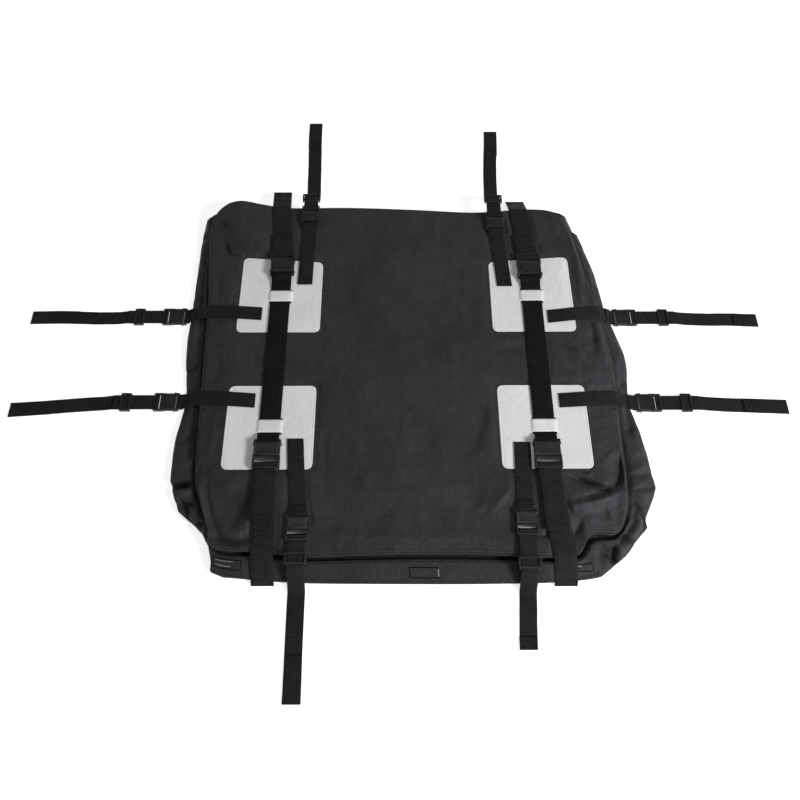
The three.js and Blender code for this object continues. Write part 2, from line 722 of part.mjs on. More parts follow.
function femaleGeometry(size) {
  const s = buckleSizes(size);
  const shoulder = s.bodyHalf - SHOULDER.inset;
  const earStart = s.femaleSlotEnd + EAR.start;
  const earHalf = s.bodyHalf + EAR.reach;
  const earEnd = earStart + EAR.length;
  const waist = s.bodyHalf - WAIST_DEPTH;
  const waistEnd = s.mouth - MOUTH_COLLAR;
  const side = [
    [-s.half, shoulder],
    [-s.half + SHOULDER.length, s.bodyHalf],
    [earStart, s.bodyHalf],
    [earStart + EAR.flank, earHalf],
    [earEnd - EAR.flank, earHalf],
    [earEnd, waist],
    [waistEnd, waist],
    [s.mouth, s.bodyHalf],
  ];
  const outline = [...side.map(([u, v]) => [u, -v]), ...side.slice().reverse()];
  const tall = s.top + CUT;
  const shape = new THREE.Shape(outline.map(([u, v]) => new THREE.Vector2(u, v)));
  const crown = underLine([
    [-s.half - CUT, s.top - CROWN.barDrop],
    [-s.half + CROWN.start, s.top],
    [s.mouth - CROWN.end, s.top],
    [s.mouth + CUT, s.top - CROWN.mouthDrop],
  ], size);
  const body = plate(shape, -s.top, s.top, BEVEL).intersect(crown);
  const slot = block([s.femaleSlotStart, -s.slotHalf, -tall], [s.femaleSlotEnd, s.slotHalf, tall]);
  const bar = BAR_THICKNESS / 2;
  const beforeBar = -s.half - CUT;
  const aboveBar = block([beforeBar, -s.slotHalf, bar], [s.femaleSlotEnd, s.slotHalf, tall]);
  const belowBar = block([beforeBar, -s.slotHalf, -tall], [s.femaleSlotEnd, s.slotHalf, -bar]);
  const channelStart = s.femaleSlotEnd + HOUSING_WALL;
  const channel = block(
    [channelStart, -s.channelHalf, -s.channelTop],
    [s.mouth + CUT, s.channelHalf, s.channelTop],
  );
  const windowTop = s.channelTop - WINDOW_EDGE;
  const windows = [-1, 1].map((sign) => {
    const inside = sign * (s.channelHalf - CUT);
    const outside = sign * (s.bodyHalf + CUT);
    const low = Math.min(inside, outside);
    const high = Math.max(inside, outside);
    return block([earEnd + CUT, low, -windowTop], [waistEnd, high, windowTop]);
  });
  const scoopHalf = s.channelHalf - SCOOP.side;
  const scoop = block(
    [channelStart + SCOOP.start, -scoopHalf, s.top - SCOOP.depth],
    [s.mouth - CROWN.end, scoopHalf, tall],
  );
  const cuts = [slot, aboveBar, belowBar, channel, scoop, ...windows];
  return toGeometry(cuts.reduce((solid, cut) => solid.subtract(cut), body));
}

function maleGeometry(size) {
  const s = buckleSizes(size);
  const base = s.mouth + MOUTH_GAP;
  const tall = s.top + CUT;
  const level = s.top - CROWN.mouthDrop;
  const outline = [[base, -s.bodyHalf], [s.half, -s.bodyHalf], [s.half, s.bodyHalf], [base, s.bodyHalf]];
  const body = plate(roundedShape(outline, MALE_CORNER, 2), -s.top, level, BEVEL);
  const innerSlot = block([s.ladderStart, -s.slotHalf, -tall], [s.middleBarStart, s.slotHalf, tall]);
  const outerSlot = block([s.middleBarEnd, -s.slotHalf, -tall], [s.endBarStart, s.slotHalf, tall]);
  const underBars = block([s.ladderStart, -s.slotHalf, -tall], [s.half + CUT, s.slotHalf, s.middleBarLow]);
  const underEnd = block([s.endBarStart, -s.slotHalf, -tall], [s.half + CUT, s.slotHalf, s.endBarLow]);
  const overMiddle = block(
    [s.middleBarStart, -s.slotHalf, s.middleBarHigh],
    [s.middleBarEnd, s.slotHalf, tall],
  );
  const rampLow = level - RAMP_DROP;
  const ramp = underLine([[base - 2 * CUT, level], [base, level], [s.ladderStart + CUT, rampLow]], size);
  const aboveRamp = block([base - CUT, -s.slotHalf, rampLow], [s.ladderStart, s.slotHalf, tall])
    .subtract(ramp);
  const cuts = [innerSlot, outerSlot, underBars, underEnd, overMiddle, aboveRamp];
  const ladder = cuts.reduce((solid, cut) => solid.subtract(cut), body);
  const prongTop = s.channelTop - PRONG_GAP;
  const outer = s.channelHalf - PRONG_GAP;
  const shaft = outer - PRONG_TIP.hook;
  const inner = outer - PRONG_WIDTH;
  const tip = s.femaleSlotEnd + HOUSING_WALL + PRONG_TIP.gap;
  const barbEnd = tip + PRONG_TIP.barb;
  const root = base + PRONG_ROOT;
  const prongs = [-1, 1].map((side) => {
    const points = [
      [root, shaft],
      [barbEnd + PRONG_TIP.taper, shaft],
      [barbEnd, outer],
      [tip + PRONG_TIP.hook, outer],
      [tip, inner + PRONG_TIP.taper],
      [tip + PRONG_TIP.taper, inner - PRONG_TIP.lean],
      [barbEnd, inner],
      [root, inner - PRONG_TIP.taper],
    ];
    const shape = new THREE.Shape(points.map(([u, v]) => new THREE.Vector2(u, side * v)));
    return plate(shape, -prongTop, prongTop);
  });
  const guide = block([tip + GUIDE.tipGap, -GUIDE.width / 2, -prongTop], [root, GUIDE.width / 2, prongTop]);
  return toGeometry([guide, ...prongs].reduce((solid, piece) => solid.add(piece), ladder));
}

const BUCKLES = new Map([WIDE, NARROW].map((size) => [
  size,
  { sizes: buckleSizes(size), female: femaleGeometry(size), male: maleGeometry(size) },
]));

// Centre line of the sewn loop round a buckle's plain bar. It takes the strap's lower layer up to the bar
// and gives back the whole line, with a short return layer lying on top.
function loopRoundBar(lower, barStart, height, size) {
  const reach = BAR_THICKNESS / 2 + SEAT_GAP + size.thickness / 2;
  const far = barStart + BAR_LENGTH + SEAT_GAP + size.thickness / 2;
  const under = lineBetween(lower, barStart - size.returnLength, lower[lower.length - 1][0]);
  const over = offsetLine(under, size.thickness + LAYER_GAP).reverse();
  const back = over.filter(([u]) => u < barStart - RETURN_GAP);
  return [
    ...lower,
    [far - BEND, height - reach],
    [far, height - reach + BEND],
    [far, height + reach - BEND],
    [far - BEND, height + reach],
    [barStart - RETURN_REACH, height + reach],
    ...back,
  ];
}

// Centre line of a strap threaded round the middle ladder bar, from its free end on top to the layer
// that carries on below.
function threadLadder(lower, freeEnd, centre, height, size) {
  const { sizes } = BUCKLES.get(size);
  const reach = SEAT_GAP + size.thickness / 2;
  const inner = centre + sizes.middleBarStart - reach;
  const outer = centre + sizes.middleBarEnd + reach;
  const over = height + sizes.middleBarHigh + reach;
  const upper = height + sizes.upperLayer;
  const low = height + sizes.lowerLayer;
  const along = lineBetween(lower, lower[0][0], freeEnd);
  const top = offsetLine(along, size.thickness + LAYER_GAP).reverse();
  return [
    ...top,
    [outer + BEND, upper],
    [outer, upper + BEND],
    [outer, over - BEND],
    [outer - BEND, over],
    [inner + BEND, over],
    [inner, over - BEND],
    [inner, low + BEND],
    [inner + BEND, low],
    ...lower,
  ];
}

// Adds the end loop: the strap turns up and back on itself as far as the seam.
function foldBack(lower, seam, size) {
  const end = lower[lower.length - 1];
  const radius = (size.thickness + LAYER_GAP) / 2;
  const turn = [-FOLD_TURN, 0, FOLD_TURN].map((share) => {
    const angle = share * Math.PI / 2;
    return [end[0] + radius * Math.cos(angle), end[1] + radius + radius * Math.sin(angle)];
  });
  const along = lineBetween(lower, seam, end[0]);
  const back = offsetLine(along, size.thickness + LAYER_GAP).reverse();
  return [...lower, ...turn, ...back];
}

function placeBuckle(frame, name, size, centre, height) {
  const { female, male } = BUCKLES.get(size);
  const halves = [
    mesh(`${name}_female`, female, MOULDING, frame.group),
    mesh(`${name}_male`, male, MOULDING, frame.group),
  ];
  halves.forEach((half) => half.position.set(centre, 0, height));
}

// Wide straps

// The strap lies on the patch, dips through the slits and runs under the band.
function underBand(centre, patchLevel, dipLevel) {
  const half = BAND.length / 2;
  return [
    [centre - half - BAND.slit, patchLevel],
    [centre - half - BAND.dip, dipLevel],
    [centre + half + BAND.dip, dipLevel],
    [centre + half + BAND.slit, patchLevel],
  ];
}

WIDE_STRAPS.forEach((strap) => {
  const { sizes } = BUCKLES.get(WIDE);
  const x = strap.x * scaleX;
  const backBuckle = strap.backBuckle * scaleY;
  const frontBuckle = strap.frontBuckle * scaleY;
  const level = patchTop + SEAT_GAP + WIDE.thickness / 2;
  const dip = patchBase + WIDE.thickness / 2;
  const height = patchTop + SEAT_GAP + sizes.top;
  const low = height - BAR_THICKNESS / 2 - SEAT_GAP - WIDE.thickness / 2;
  const backBar = backBuckle - sizes.half;
  const frontBar = frontBuckle - sizes.half;

  // Main strap, in the frame that looks to the back
  const main = strapFrame('back', x);
  const half = [[0, level], ...underBand(patchY, level, dip)];
  const backHalf = [...half, [backBar - WIDE_LEVEL_RUN, low], [backBar + 1, low]];
  const frontHalf = [...half, [frontBar - WIDE_LEVEL_RUN, low], [frontBar + 1, low]];
  const backLine = loopRoundBar(backHalf, backBar, height, WIDE);
  const frontLine = loopRoundBar(frontHalf, frontBar, height, WIDE);
  const mirrored = frontLine.map(([u, w]) => [-u, w]).reverse();
  const mainLine = [...mirrored, ...backLine.slice(1)];
  mesh(`wide_strap_${strap.side}`, webbingGeometry(mainLine, WIDE), WEBBING, main.group);

  const ends = [
    { way: 'back', centre: backBuckle, end: strap.backEnd * scaleY, freeEnd: strap.backFreeEnd * scaleY,
      shift: strap.backDrift },
    { way: 'front', centre: frontBuckle, end: strap.frontEnd * scaleY, freeEnd: strap.frontFreeEnd * scaleY,
      shift: strap.frontDrift },
  ];
  ends.forEach(({ way, centre, end, freeEnd, shift }) => {
    const frame = strapFrame(way, x);
    placeBuckle(frame, `wide_buckle_${way}_${strap.side}`, WIDE, centre, height);
    const start = centre + sizes.half + 1;
    const drift = (u) => frame.sideSign * shift * smooth((u - start) / (end - start));
    const lowerLevel = height + sizes.lowerLayer;
    const lower = drape(frame, WIDE, start, end, { fromHeight: lowerLevel, drift });
    const line = threadLadder(lower, freeEnd, centre, height, WIDE);
    mesh(`wide_tail_${way}_${strap.side}`, webbingGeometry(line, WIDE, drift), WEBBING, frame.group);
  });
});

// Narrow straps

function glideGeometry(size, lowerLayer, upperLayer) {
  const low = lowerLayer - size.thickness / 2 - SEAT_GAP;
  const high = upperLayer + size.thickness / 2 + SEAT_GAP;
  const inner = size.width / 2 + SLOT_SIDE_ROOM;
  const outer = inner + GLIDE.rail;
  const half = GLIDE.length / 2;
  const outline = [[-half, -outer], [half, -outer], [half, outer], [-half, outer]];
  const bottom = low - GLIDE.barThickness;
  const top = high + GLIDE.barThickness;
  const body = plate(roundedShape(outline, GLIDE.corner, 2), bottom, top, GLIDE.bevel);
  const passage = block([-half - CUT, -inner, low], [half + CUT, inner, high]);
  const middle = GLIDE.bar / 2;
  const overMiddle = block([-half + GLIDE.bar, -inner, low], [half - GLIDE.bar, inner, top + CUT]);
  const underFirst = block([-half - CUT, -inner, bottom - CUT], [-middle, inner, high]);
  const underLast = block([middle, -inner, bottom - CUT], [half + CUT, inner, high]);
  const cuts = [passage, overMiddle, underFirst, underLast];
  return toGeometry(cuts.reduce((solid, cut) => solid.subtract(cut), body));
}

NARROW_STRAPS.forEach((strap) => {
  const { sizes } = BUCKLES.get(NARROW);
  const { alongX } = WAYS[strap.way];
  const frame = strapFrame(strap.way, strap.across * (alongX ? scaleX : scaleY));
  const scale = alongX ? scaleY : scaleX;
  const patchEdge = alongX ? patchY + PATCH.length / 2 : patchX + PATCH.width / 2;
  const start = patchEdge - strap.sewn;
  const buckle = strap.buckle * scale;
  const glideCentre = strap.glide * scale;
  const seam = strap.seam * scale;
  const end = strap.end * scale;
  const buckleStart = buckle - sizes.half;
  const buckleEnd = buckle + sizes.half;
  const glideEnd = glideCentre + GLIDE.length / 2;
  const bodyWidth = 2 * sizes.bodyHalf;
  const underBuckle = restHeight(frame, buckleStart, buckleEnd, bodyWidth);
  const underGlide = restHeight(frame, buckleEnd, glideEnd + strap.slack, bodyWidth);
  const glideDrop = sizes.top + sizes.lowerLayer - NARROW.thickness / 2 - SEAT_GAP - GLIDE.barThickness;
  const height = Math.max(underBuckle, underGlide - glideDrop) + SEAT_GAP + sizes.top;

  // Anchor, sewn flat to the patch and looped round the female half's bar
  const startShift = frame.sideSign * strap.startDrift;
  const anchorDrift = (u) => startShift * (1 - smooth((u - start) / (buckleStart - start)));
  const barLevel = height - BAR_THICKNESS / 2 - SEAT_GAP - NARROW.thickness / 2;
  const anchorEnd = buckleStart - LEVEL_RUN;
  const anchor = drape(frame, NARROW, start, anchorEnd, { toHeight: barLevel, drift: anchorDrift });
  const lowerAnchor = [...anchor, [buckleStart + 1, barLevel]];
  const anchorLine = loopRoundBar(lowerAnchor, buckleStart, height, NARROW);
  mesh(`anchor_${strap.name}`, webbingGeometry(anchorLine, NARROW, anchorDrift), WEBBING, frame.group);

  placeBuckle(frame, `buckle_${strap.name}`, NARROW, buckle, height);

  // Tail: level through the tri-glide, then down to the ground and out to the end loop
  const lowerLevel = height + sizes.lowerLayer;
  const levelEnd = glideEnd + strap.slack + 2;
  const endShift = frame.sideSign * strap.endDrift;
  const tailDrift = (u) => endShift * smooth((u - levelEnd) / (end - levelEnd));
  const ground = FLOOR_GAP + NARROW.thickness / 2;
  const touch = groundTouch(frame, levelEnd, tailDrift);
  const fall = { fromHeight: lowerLevel, toHeight: ground, drift: tailDrift };
  const down = drape(frame, NARROW, levelEnd, touch, fall);
  const lower = [[buckleEnd + 1, lowerLevel], ...down, [end, ground]];
  const threaded = threadLadder(lower, glideEnd + strap.slack, buckle, height, NARROW);
  const tailLine = foldBack(threaded, seam, NARROW);
  mesh(`tail_${strap.name}`, webbingGeometry(tailLine, NARROW, tailDrift), WEBBING, frame.group);

  const glide = mesh(
    `tri_glide_${strap.name}`,
    glideGeometry(NARROW, sizes.lowerLayer, sizes.upperLayer),
    MOULDING,
    frame.group,
  );
  glide.position.set(glideCentre, 0, height);
});

export default model;
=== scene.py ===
# Soft roof cargo bag with its lashing straps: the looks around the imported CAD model.
import math

import bmesh
import bpy
import numpy as np
from mathutils import Matrix, Vector
from mathutils.bvhtree import BVHTree


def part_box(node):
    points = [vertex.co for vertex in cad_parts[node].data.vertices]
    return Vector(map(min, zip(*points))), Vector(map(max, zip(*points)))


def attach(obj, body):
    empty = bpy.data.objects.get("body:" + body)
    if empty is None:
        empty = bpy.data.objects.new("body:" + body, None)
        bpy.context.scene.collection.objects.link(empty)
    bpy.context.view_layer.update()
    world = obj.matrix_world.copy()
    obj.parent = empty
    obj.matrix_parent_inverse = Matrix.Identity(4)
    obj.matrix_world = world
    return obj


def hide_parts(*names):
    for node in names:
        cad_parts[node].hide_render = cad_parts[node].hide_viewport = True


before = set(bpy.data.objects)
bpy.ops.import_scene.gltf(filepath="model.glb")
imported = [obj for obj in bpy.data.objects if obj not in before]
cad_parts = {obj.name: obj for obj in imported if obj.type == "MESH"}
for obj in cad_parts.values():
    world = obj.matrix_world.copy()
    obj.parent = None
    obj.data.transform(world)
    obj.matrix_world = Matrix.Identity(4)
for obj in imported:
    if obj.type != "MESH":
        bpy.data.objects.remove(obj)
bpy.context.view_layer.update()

MM = 0.001

# The bag's outline in millimetres: the seam of the top panel and the widest point of the wall below it,
# anticlockwise from the front left corner, as in the CAD source.
STATIONS = [
    ((-423, -468, 37), (-430, -512, 7)), ((-335, -479, 40), (-342, -532, 6)),
    ((-214, -490, 41), (-222, -540, 6)), ((-110, -487, 41), (-103, -542, 6)),
    ((20, -485, 41), (25, -543, 6)), ((146, -486, 41), (155, -543, 6)),
    ((272, -492, 41), (281, -541, 6)), ((362, -489, 40), (372, -536, 7)),
    ((422, -478, 38), (428, -525, 10)), ((466, -447, 37), (482, -486, 13)),
    ((488, -380, 36), (532, -415, 15)), ((495, -305, 35), (563, -328, 15)),
    ((497, -215, 34), (553, -205, 12)), ((500, -110, 34), (537, -105, 8)),
    ((501, 15, 34), (543, 15, 11)), ((484, 150, 34), (514, 152, 11)),
    ((460, 290, 35), (494, 292, 11)), ((440, 400, 36), (468, 402, 11)),
    ((405, 466, 37), (428, 474, 12)), ((330, 478, 37), (335, 491, 13)),
    ((190, 467, 37), (190, 481, 13)), ((27, 477, 37), (27, 491, 13)),
    ((-150, 485, 37), (-150, 499, 13)), ((-315, 484, 38), (-315, 500, 13)),
    ((-385, 492, 43), (-388, 511, 14)), ((-455, 500, 50), (-462, 523, 15)),
    ((-504, 470, 46), (-517, 489, 14)), ((-524, 405, 36), (-548, 425, 12)),
    ((-515, 290, 34), (-549, 290, 11)), ((-503, 170, 34), (-549, 165, 11)),
    ((-498, 40, 34), (-548, 30, 11)), ((-491, -95, 34), (-534, -98, 8)),
    ((-486, -215, 34), (-545, -220, 13)), ((-477, -315, 35), (-541, -318, 16)),
    ((-461, -366, 36), (-512, -378, 14)), ((-443, -415, 36), (-459, -430, 13)),
]
COUNT = len(STATIONS)
PANEL_HEIGHT = 45 * MM
CREASE_DEPTH = 9 * MM
CREASE_SHARE = 0.16
GUSSET_BULGE = 3 * MM
BASE_INSET = 11 * MM
FLOOR_CLEARANCE = 0.2 * MM

# The panel's rim is drawn in at the front right, where cloth is bunched: two stations of its seam.
DRAWN_IN = {8: (400, -443, 37), 9: (458, -438, 37)}

# Straight runs of the outline with sharp corners, which the CAD body rounds: the stations where each run
# starts and ends, and its corners in millimetres.
SHARP_RUNS = [
    (-4, 1, [(-541, -310), (-513, -380), (-454, -432), (-433, -466), (-427, -517), (-399, -528)]),
    (7, 12, [(417, -530), (475, -487), (531, -422), (535, -395), (565, -328)]),
    (16, 19, [(480, 358), (467, 410), (457, 414), (441, 477), (402, 484)]),
    (25, 27, [(-506, 500), (-544, 462)]),
]

# Where the outline turns from one side of the bag to the next, in stations.
CORNERS = (-0.4, 9.2, 18.0, 25.6, 35.6)

# The panel's grid: its cells, how much closer together they lie towards the rim, its rough size for the
# distance from the rim, and how many cells inside the rim the topstitching runs.
CELLS_X, CELLS_Y = 248, 242
CROWDING = 0.34
PANEL_WIDTH, PANEL_LENGTH = 0.95, 0.96
STITCH_RING = 3

# The front flap starts at station 0 and ends here.
FLAP_END = 7.8

# Depth of the groove between the panel's rim and the wall, in millimetres, by station.
GROOVES = [22, *[23] * 8, 20, 11, 13, 12, 9, 6, 4, *[3] * 4, *[4] * 4, 6, 8, 12, 16, *[17] * 5, 16, 18, 20]

# Folds of the top panel that the photograph shows: the line's points as x, y, x, y and so on, its width and
# height, all in millimetres, and how much steeper its left side is.
CREASES = [
    ((-484, 415, -420, 385, -350, 345), 28, 6.5, .5), ((-505, 440, -470, 400, -450, 350), 14, -6.5, .4),
    ((-482, 375, -462, 322, -426, 311), 6, -9, .6), ((-470, 290, -455, 200, -447, 100), 16, 3, -.4),
    ((-460, 60, -410, 0, -360, -30), 13, 3.4, .5), ((-440, 35, -450, -20, -470, -75), 11, -3, .3),
    ((-400, 60, -370, 20, -360, -50), 12, -2.6, .3), ((-445, -120, -452, -200, -455, -290), 13, 3.4, -.5),
    ((-468, -325, -452, -390, -432, -455), 12, 7, -.7), ((-450, -335, -432, -400, -405, -455), 10, -6, .5),
    ((-345, -310, -370, -400, -405, -455), 24, -6, .4), ((-450, -298, -420, -312, -375, -335), 9, 3, .5),
    ((-425, -447, -385, -458, -340, -456), 8, -9.5, .4), ((-410, -425, -370, -440, -340, -430), 10, 6, .4),
    ((-190, -200, -186, -250, -178, -300), 8, -3, .4),
    ((-190, -445, -80, -452, 60, -455, 190, -452), 20, 4, .3),
    ((190, -110, 178, -180, 150, -260), 15, -5, .3), ((245, -320, 215, -360, 175, -405), 12, 6, .6),
    ((190, -300, 160, -350, 130, -420), 20, -3.2, .3), ((355, -298, 400, -304, 450, -298), 9, 6.5, .6),
    ((352, -303, 386, -314, 425, -332, 441, -340, 460, -331), 7, -18, .5),
    ((462, -336, 480, -316, 486, -295, 486, -255), 8, -17, -.4),
    ((345, -388, 390, -380, 430, -370, 486, -344), 17, 14, .6),
    ((348, -371, 390, -362, 430, -351, 474, -333), 9, -4.5, .4),
    ((492, -220, 496, -290, 488, -360, 470, -420, 456, -440), 10, 8, .5),
    ((385, -412, 420, -418, 452, -418), 9, 5, -.5), ((388, -400, 372, -430, 352, -466), 9, -5, .4),
    ((335, -420, 300, -447, 262, -452), 9, -6, .4), ((210, 12, 250, 26, 290, 20), 12, -4, .4),
    ((220, 45, 260, 55, 290, 50), 12, 3, .4), ((360, 0, 390, -20, 420, -45), 10, 5.5, .5),
    ((362, 45, 400, 30, 440, 36), 13, -4, .4), ((400, 60, 430, 10, 440, -50), 10, 3.2, .5),
    ((475, 120, 484, 30, 486, -60), 11, 5.5, .6), ((458, 170, 466, 90, 464, 0), 8, -6, .4),
    ((440, 370, 452, 270, 462, 180), 15, 4, .5), ((456, 300, 470, 220, 478, 150), 8, -4, .5),
    ((220, 430, 300, 420, 390, 430), 18, 3.4, .3), ((360, 400, 400, 370, 420, 330), 13, -2.6, .3),
    ((-100, 340, -140, 200, -120, 80), 30, -3.4, .2), ((-160, 120, -100, 0, -120, -160), 36, 3, .2),
    ((-100, 320, 0, 260, 100, 280), 34, 3, .2), ((-20, -100, 60, -200, 50, -330), 34, -3.2, .2),
    ((80, 100, 120, 0, 110, -120), 28, 2.6, .2), ((-130, -200, -90, -300, -120, -400), 26, 2.8, .3),
]

# Folds of the walls: place in stations, slant in metres over the wall, width and height in millimetres.
WALL_FOLDS = [
    (8.35, .02, 9, -6), (8.8, -.01, 11, 5), (9.25, .03, 9, -12), (9.75, .01, 14, 8), (10.25, -.025, 9, -9),
    (10.75, .0, 14, 7), (11.2, .02, 9, -7), (11.75, -.02, 16, 5), (12.3, .02, 9, -4), (13.4, .03, 11, -3.5),
    (14.3, -.03, 16, 3.5), (15.1, .02, 10, -3.5), (15.8, .01, 12, 3), (16.6, -.02, 12, -3),
    (18.4, .01, 10, -3), (24.6, 0, 12, -4), (25.4, .01, 12, 5), (26.0, -.01, 8, -6), (26.5, .01, 12, 4),
    (27.2, .02, 9, -4), (28.0, -.02, 14, 3.5), (28.8, -.03, 10, -4), (29.6, .02, 15, 3.5),
    (30.35, .008, 7, -6), (31.2, -.02, 18, 3), (31.9, .02, 9, -4), (32.5, .02, 12, 4),
    (33.02, -.006, 7, -12), (33.4, .015, 12, 7), (33.85, -.02, 8, -8), (34.3, .02, 12, 6),
    (34.75, -.02, 8, -7), (35.2, .01, 12, 5),
]

# Folds of the walls as lines seen from above, in the same form.
WALL_LINES = [
    ((-557, -318, -530, -321, -490, -322), 6, -15, .2), ((-550, -335, -520, -338, -480, -336), 12, 7, .3),
    ((-520, -326, -503, -366, -484, -400, -466, -430), 7, -12, .4),
    ((-540, -335, -522, -372, -498, -405, -475, -435), 11, 8, -.4),
    ((-513, -225, -505, -240, -500, -262), 5, -6, .2),
    ((-528, 400, -531, 300, -527, 190, -518, 80, -511, -20), 9, -6, .3),
    ((-507, -40, -504, -130, -502, -210, -497, -300), 9, -8, .3),
    ((-545, 300, -548, 200, -545, 90, -536, -20), 11, 4, .3),
    ((-533, -80, -536, -160, -541, -240, -537, -300), 11, 6, .3),
    ((545, -372, 530, -408, 512, -450, 492, -478), 8, -16, .4),
    ((568, -340, 560, -380, 542, -420, 520, -452), 13, 9, -.4),
    ((527, -395, 508, -430, 486, -462, 462, -484), 9, 7, .4),
    ((515, -372, 500, -410, 478, -446, 452, -470), 6, -10, .3),
    ((500, -338, 530, -333, 565, -325), 7, -9, .4), ((500, -300, 530, -285, 556, -270), 14, 5, .4),
    ((512, -250, 528, -180, 530, -100, 524, -20), 9, -6, .3), ((536, -220, 545, -160, 540, -80), 9, 4, .3),
    ((515, 20, 508, 100, 495, 180, 486, 270), 6, -4, .3), ((454, -462, 450, -483, 445, -512), 5, -15, .3),
    ((442, -498, 465, -492, 486, -484), 5, -12, .3), ((400, -492, 425, -482, 452, -470), 8, -9, .3),
    ((410, -512, 432, -500, 450, -492), 9, 5, .3),
]

# Straps
WIDE_WIDTH = 50 * MM
WIDE_THICKNESS = 1.8 * MM
NARROW_WIDTH = 38 * MM
NARROW_THICKNESS = 1.4 * MM
NARROW_NAMES = ("front_left", "front_right", "back_left", "back_right",
                "left_back", "left_front", "right_back", "right_front")
CORNER_NAMES = ("back_left", "back_right", "front_left", "front_right")

# Patches, as in the CAD source
PATCH_X = 319 * MM
PATCH_Y = 184 * MM
PATCH_WIDTH = 208 * MM
PATCH_LENGTH = 216 * MM
PATCH_SKEW = 16 * MM
PATCH_CORNER = 16 * MM
WINDOW_WIDTH = 56 * MM
WINDOW_LENGTH = 43 * MM
BAND_LENGTH = 33 * MM

# Rays for heights start well above or below the part, and a ray upward that meets nothing gives OPEN_SKY.
RAY_ABOVE = 0.2
RAY_BELOW = -0.01
OPEN_SKY = 1.0


# Numbers

def smooth(share):
    share = np.clip(share, 0, 1)
    return share * share * (3 - 2 * share)


def lattice_noise(x, y, size, seed):
    """Smooth noise from -1 to 1 with bumps of about the given size."""
    cells = 128
    table = np.random.default_rng(seed).uniform(-1, 1, (cells, cells))
    gx, gy = (np.asarray(k) / size + cells / 2 for k in (x, y))
    ix, iy = np.floor(gx).astype(int), np.floor(gy).astype(int)
    fx, fy = (f ** 3 * (f * (f * 6 - 15) + 10) for f in (gx - ix, gy - iy))
    low, high = (table[ix % cells, j % cells] * (1 - fx) + table[(ix + 1) % cells, j % cells] * fx
                 for j in (iy, iy + 1))
    return low * (1 - fy) + high * fy


def crumple(x, y, size, seed):
    """Fabric creases: rounded fields between narrow ridges, from about -1 to 1."""
    bend_x = lattice_noise(x, y, size * 1.7, seed + 1) * size * 0.5
    bend_y = lattice_noise(x, y, size * 1.7, seed + 2) * size * 0.5
    first = 1 - 2 * np.abs(lattice_noise(x + bend_x, y + bend_y, size, seed + 3))
    second = 1 - 2 * np.abs(lattice_noise(y + bend_x, x + bend_y, size * 0.55, seed + 4))
    return 0.65 * first + 0.35 * second


def closed_spline(points, places):
    points = np.asarray(points, float)
    whole = np.floor(places).astype(int)
    t = (places - whole)[:, None]
    before, start, end, after = (points[(whole + k) % COUNT] for k in (-1, 0, 1, 2))
    leave, arrive = (end - before) / 2, (after - start) / 2
    return ((2 * t ** 3 - 3 * t ** 2 + 1) * start + (t ** 3 - 2 * t ** 2 + t) * leave
            + (3 * t ** 2 - 2 * t ** 3) * end + (t ** 3 - t ** 2) * arrive)


def lengths_along(points):
    steps = np.linalg.norm(np.diff(points, axis=0), axis=1)
    return np.concatenate([[0], np.cumsum(steps)])


def resample(points, spacing):
    """The same line with points at even steps of about the given spacing."""
    points = np.asarray(points, float)
    length = lengths_along(points)
    count = max(2, int(round(length[-1] / spacing)) + 1)
    places = np.linspace(0, length[-1], count)
    return np.stack([np.interp(places, length, points[:, k]) for k in range(points.shape[1])], 1)


def unit(vectors):
    return vectors / np.maximum(np.linalg.norm(vectors, axis=-1, keepdims=True), 1e-12)


def crease_height(x, y, line, width, height, bias):
    """A fold along a line in millimetres, which fades out towards both ends."""
    points = resample(np.reshape(line, (-1, 2)) * MM, 6 * MM)
    nearest = np.full(x.shape, 1e9)
    side = np.zeros(x.shape)
    place = np.zeros(x.shape)
    last = len(points) - 1
    for k in range(last):
        (ax, ay), (bx, by) = points[k], points[k + 1]
        dx, dy = bx - ax, by - ay
        share = np.clip(((x - ax) * dx + (y - ay) * dy) / (dx * dx + dy * dy), 0, 1)
        away = np.hypot(x - ax - share * dx, y - ay - share * dy)
        closer = away < nearest
        nearest = np.where(closer, away, nearest)
        side = np.where(closer, np.sign(dx * (y - ay) - dy * (x - ax)), side)
        place = np.where(closer, (k + share) / last, place)
    narrow = width * MM * np.where(side > 0, 1 - 0.55 * max(bias, 0), 1 + 0.55 * min(bias, 0))
    wide = width * MM * (1 + 0.5 * abs(bias))
    reach = np.where((side > 0) == (bias > 0), narrow, wide)
    fade = np.sin(np.pi * np.clip(place, 0.02, 0.98)) ** 0.6
    return height * MM * fade * np.exp(-(nearest / reach) ** 1.15)


def fold_shade(heights):
    """How far inside a fold each point lies, above 0, or how far up on a ridge, below 0: the mask for painted
    shade in folds and painted highlight on ridges.
    """
    return np.clip(-heights / (7 * MM), -1, 1)


# Meshes

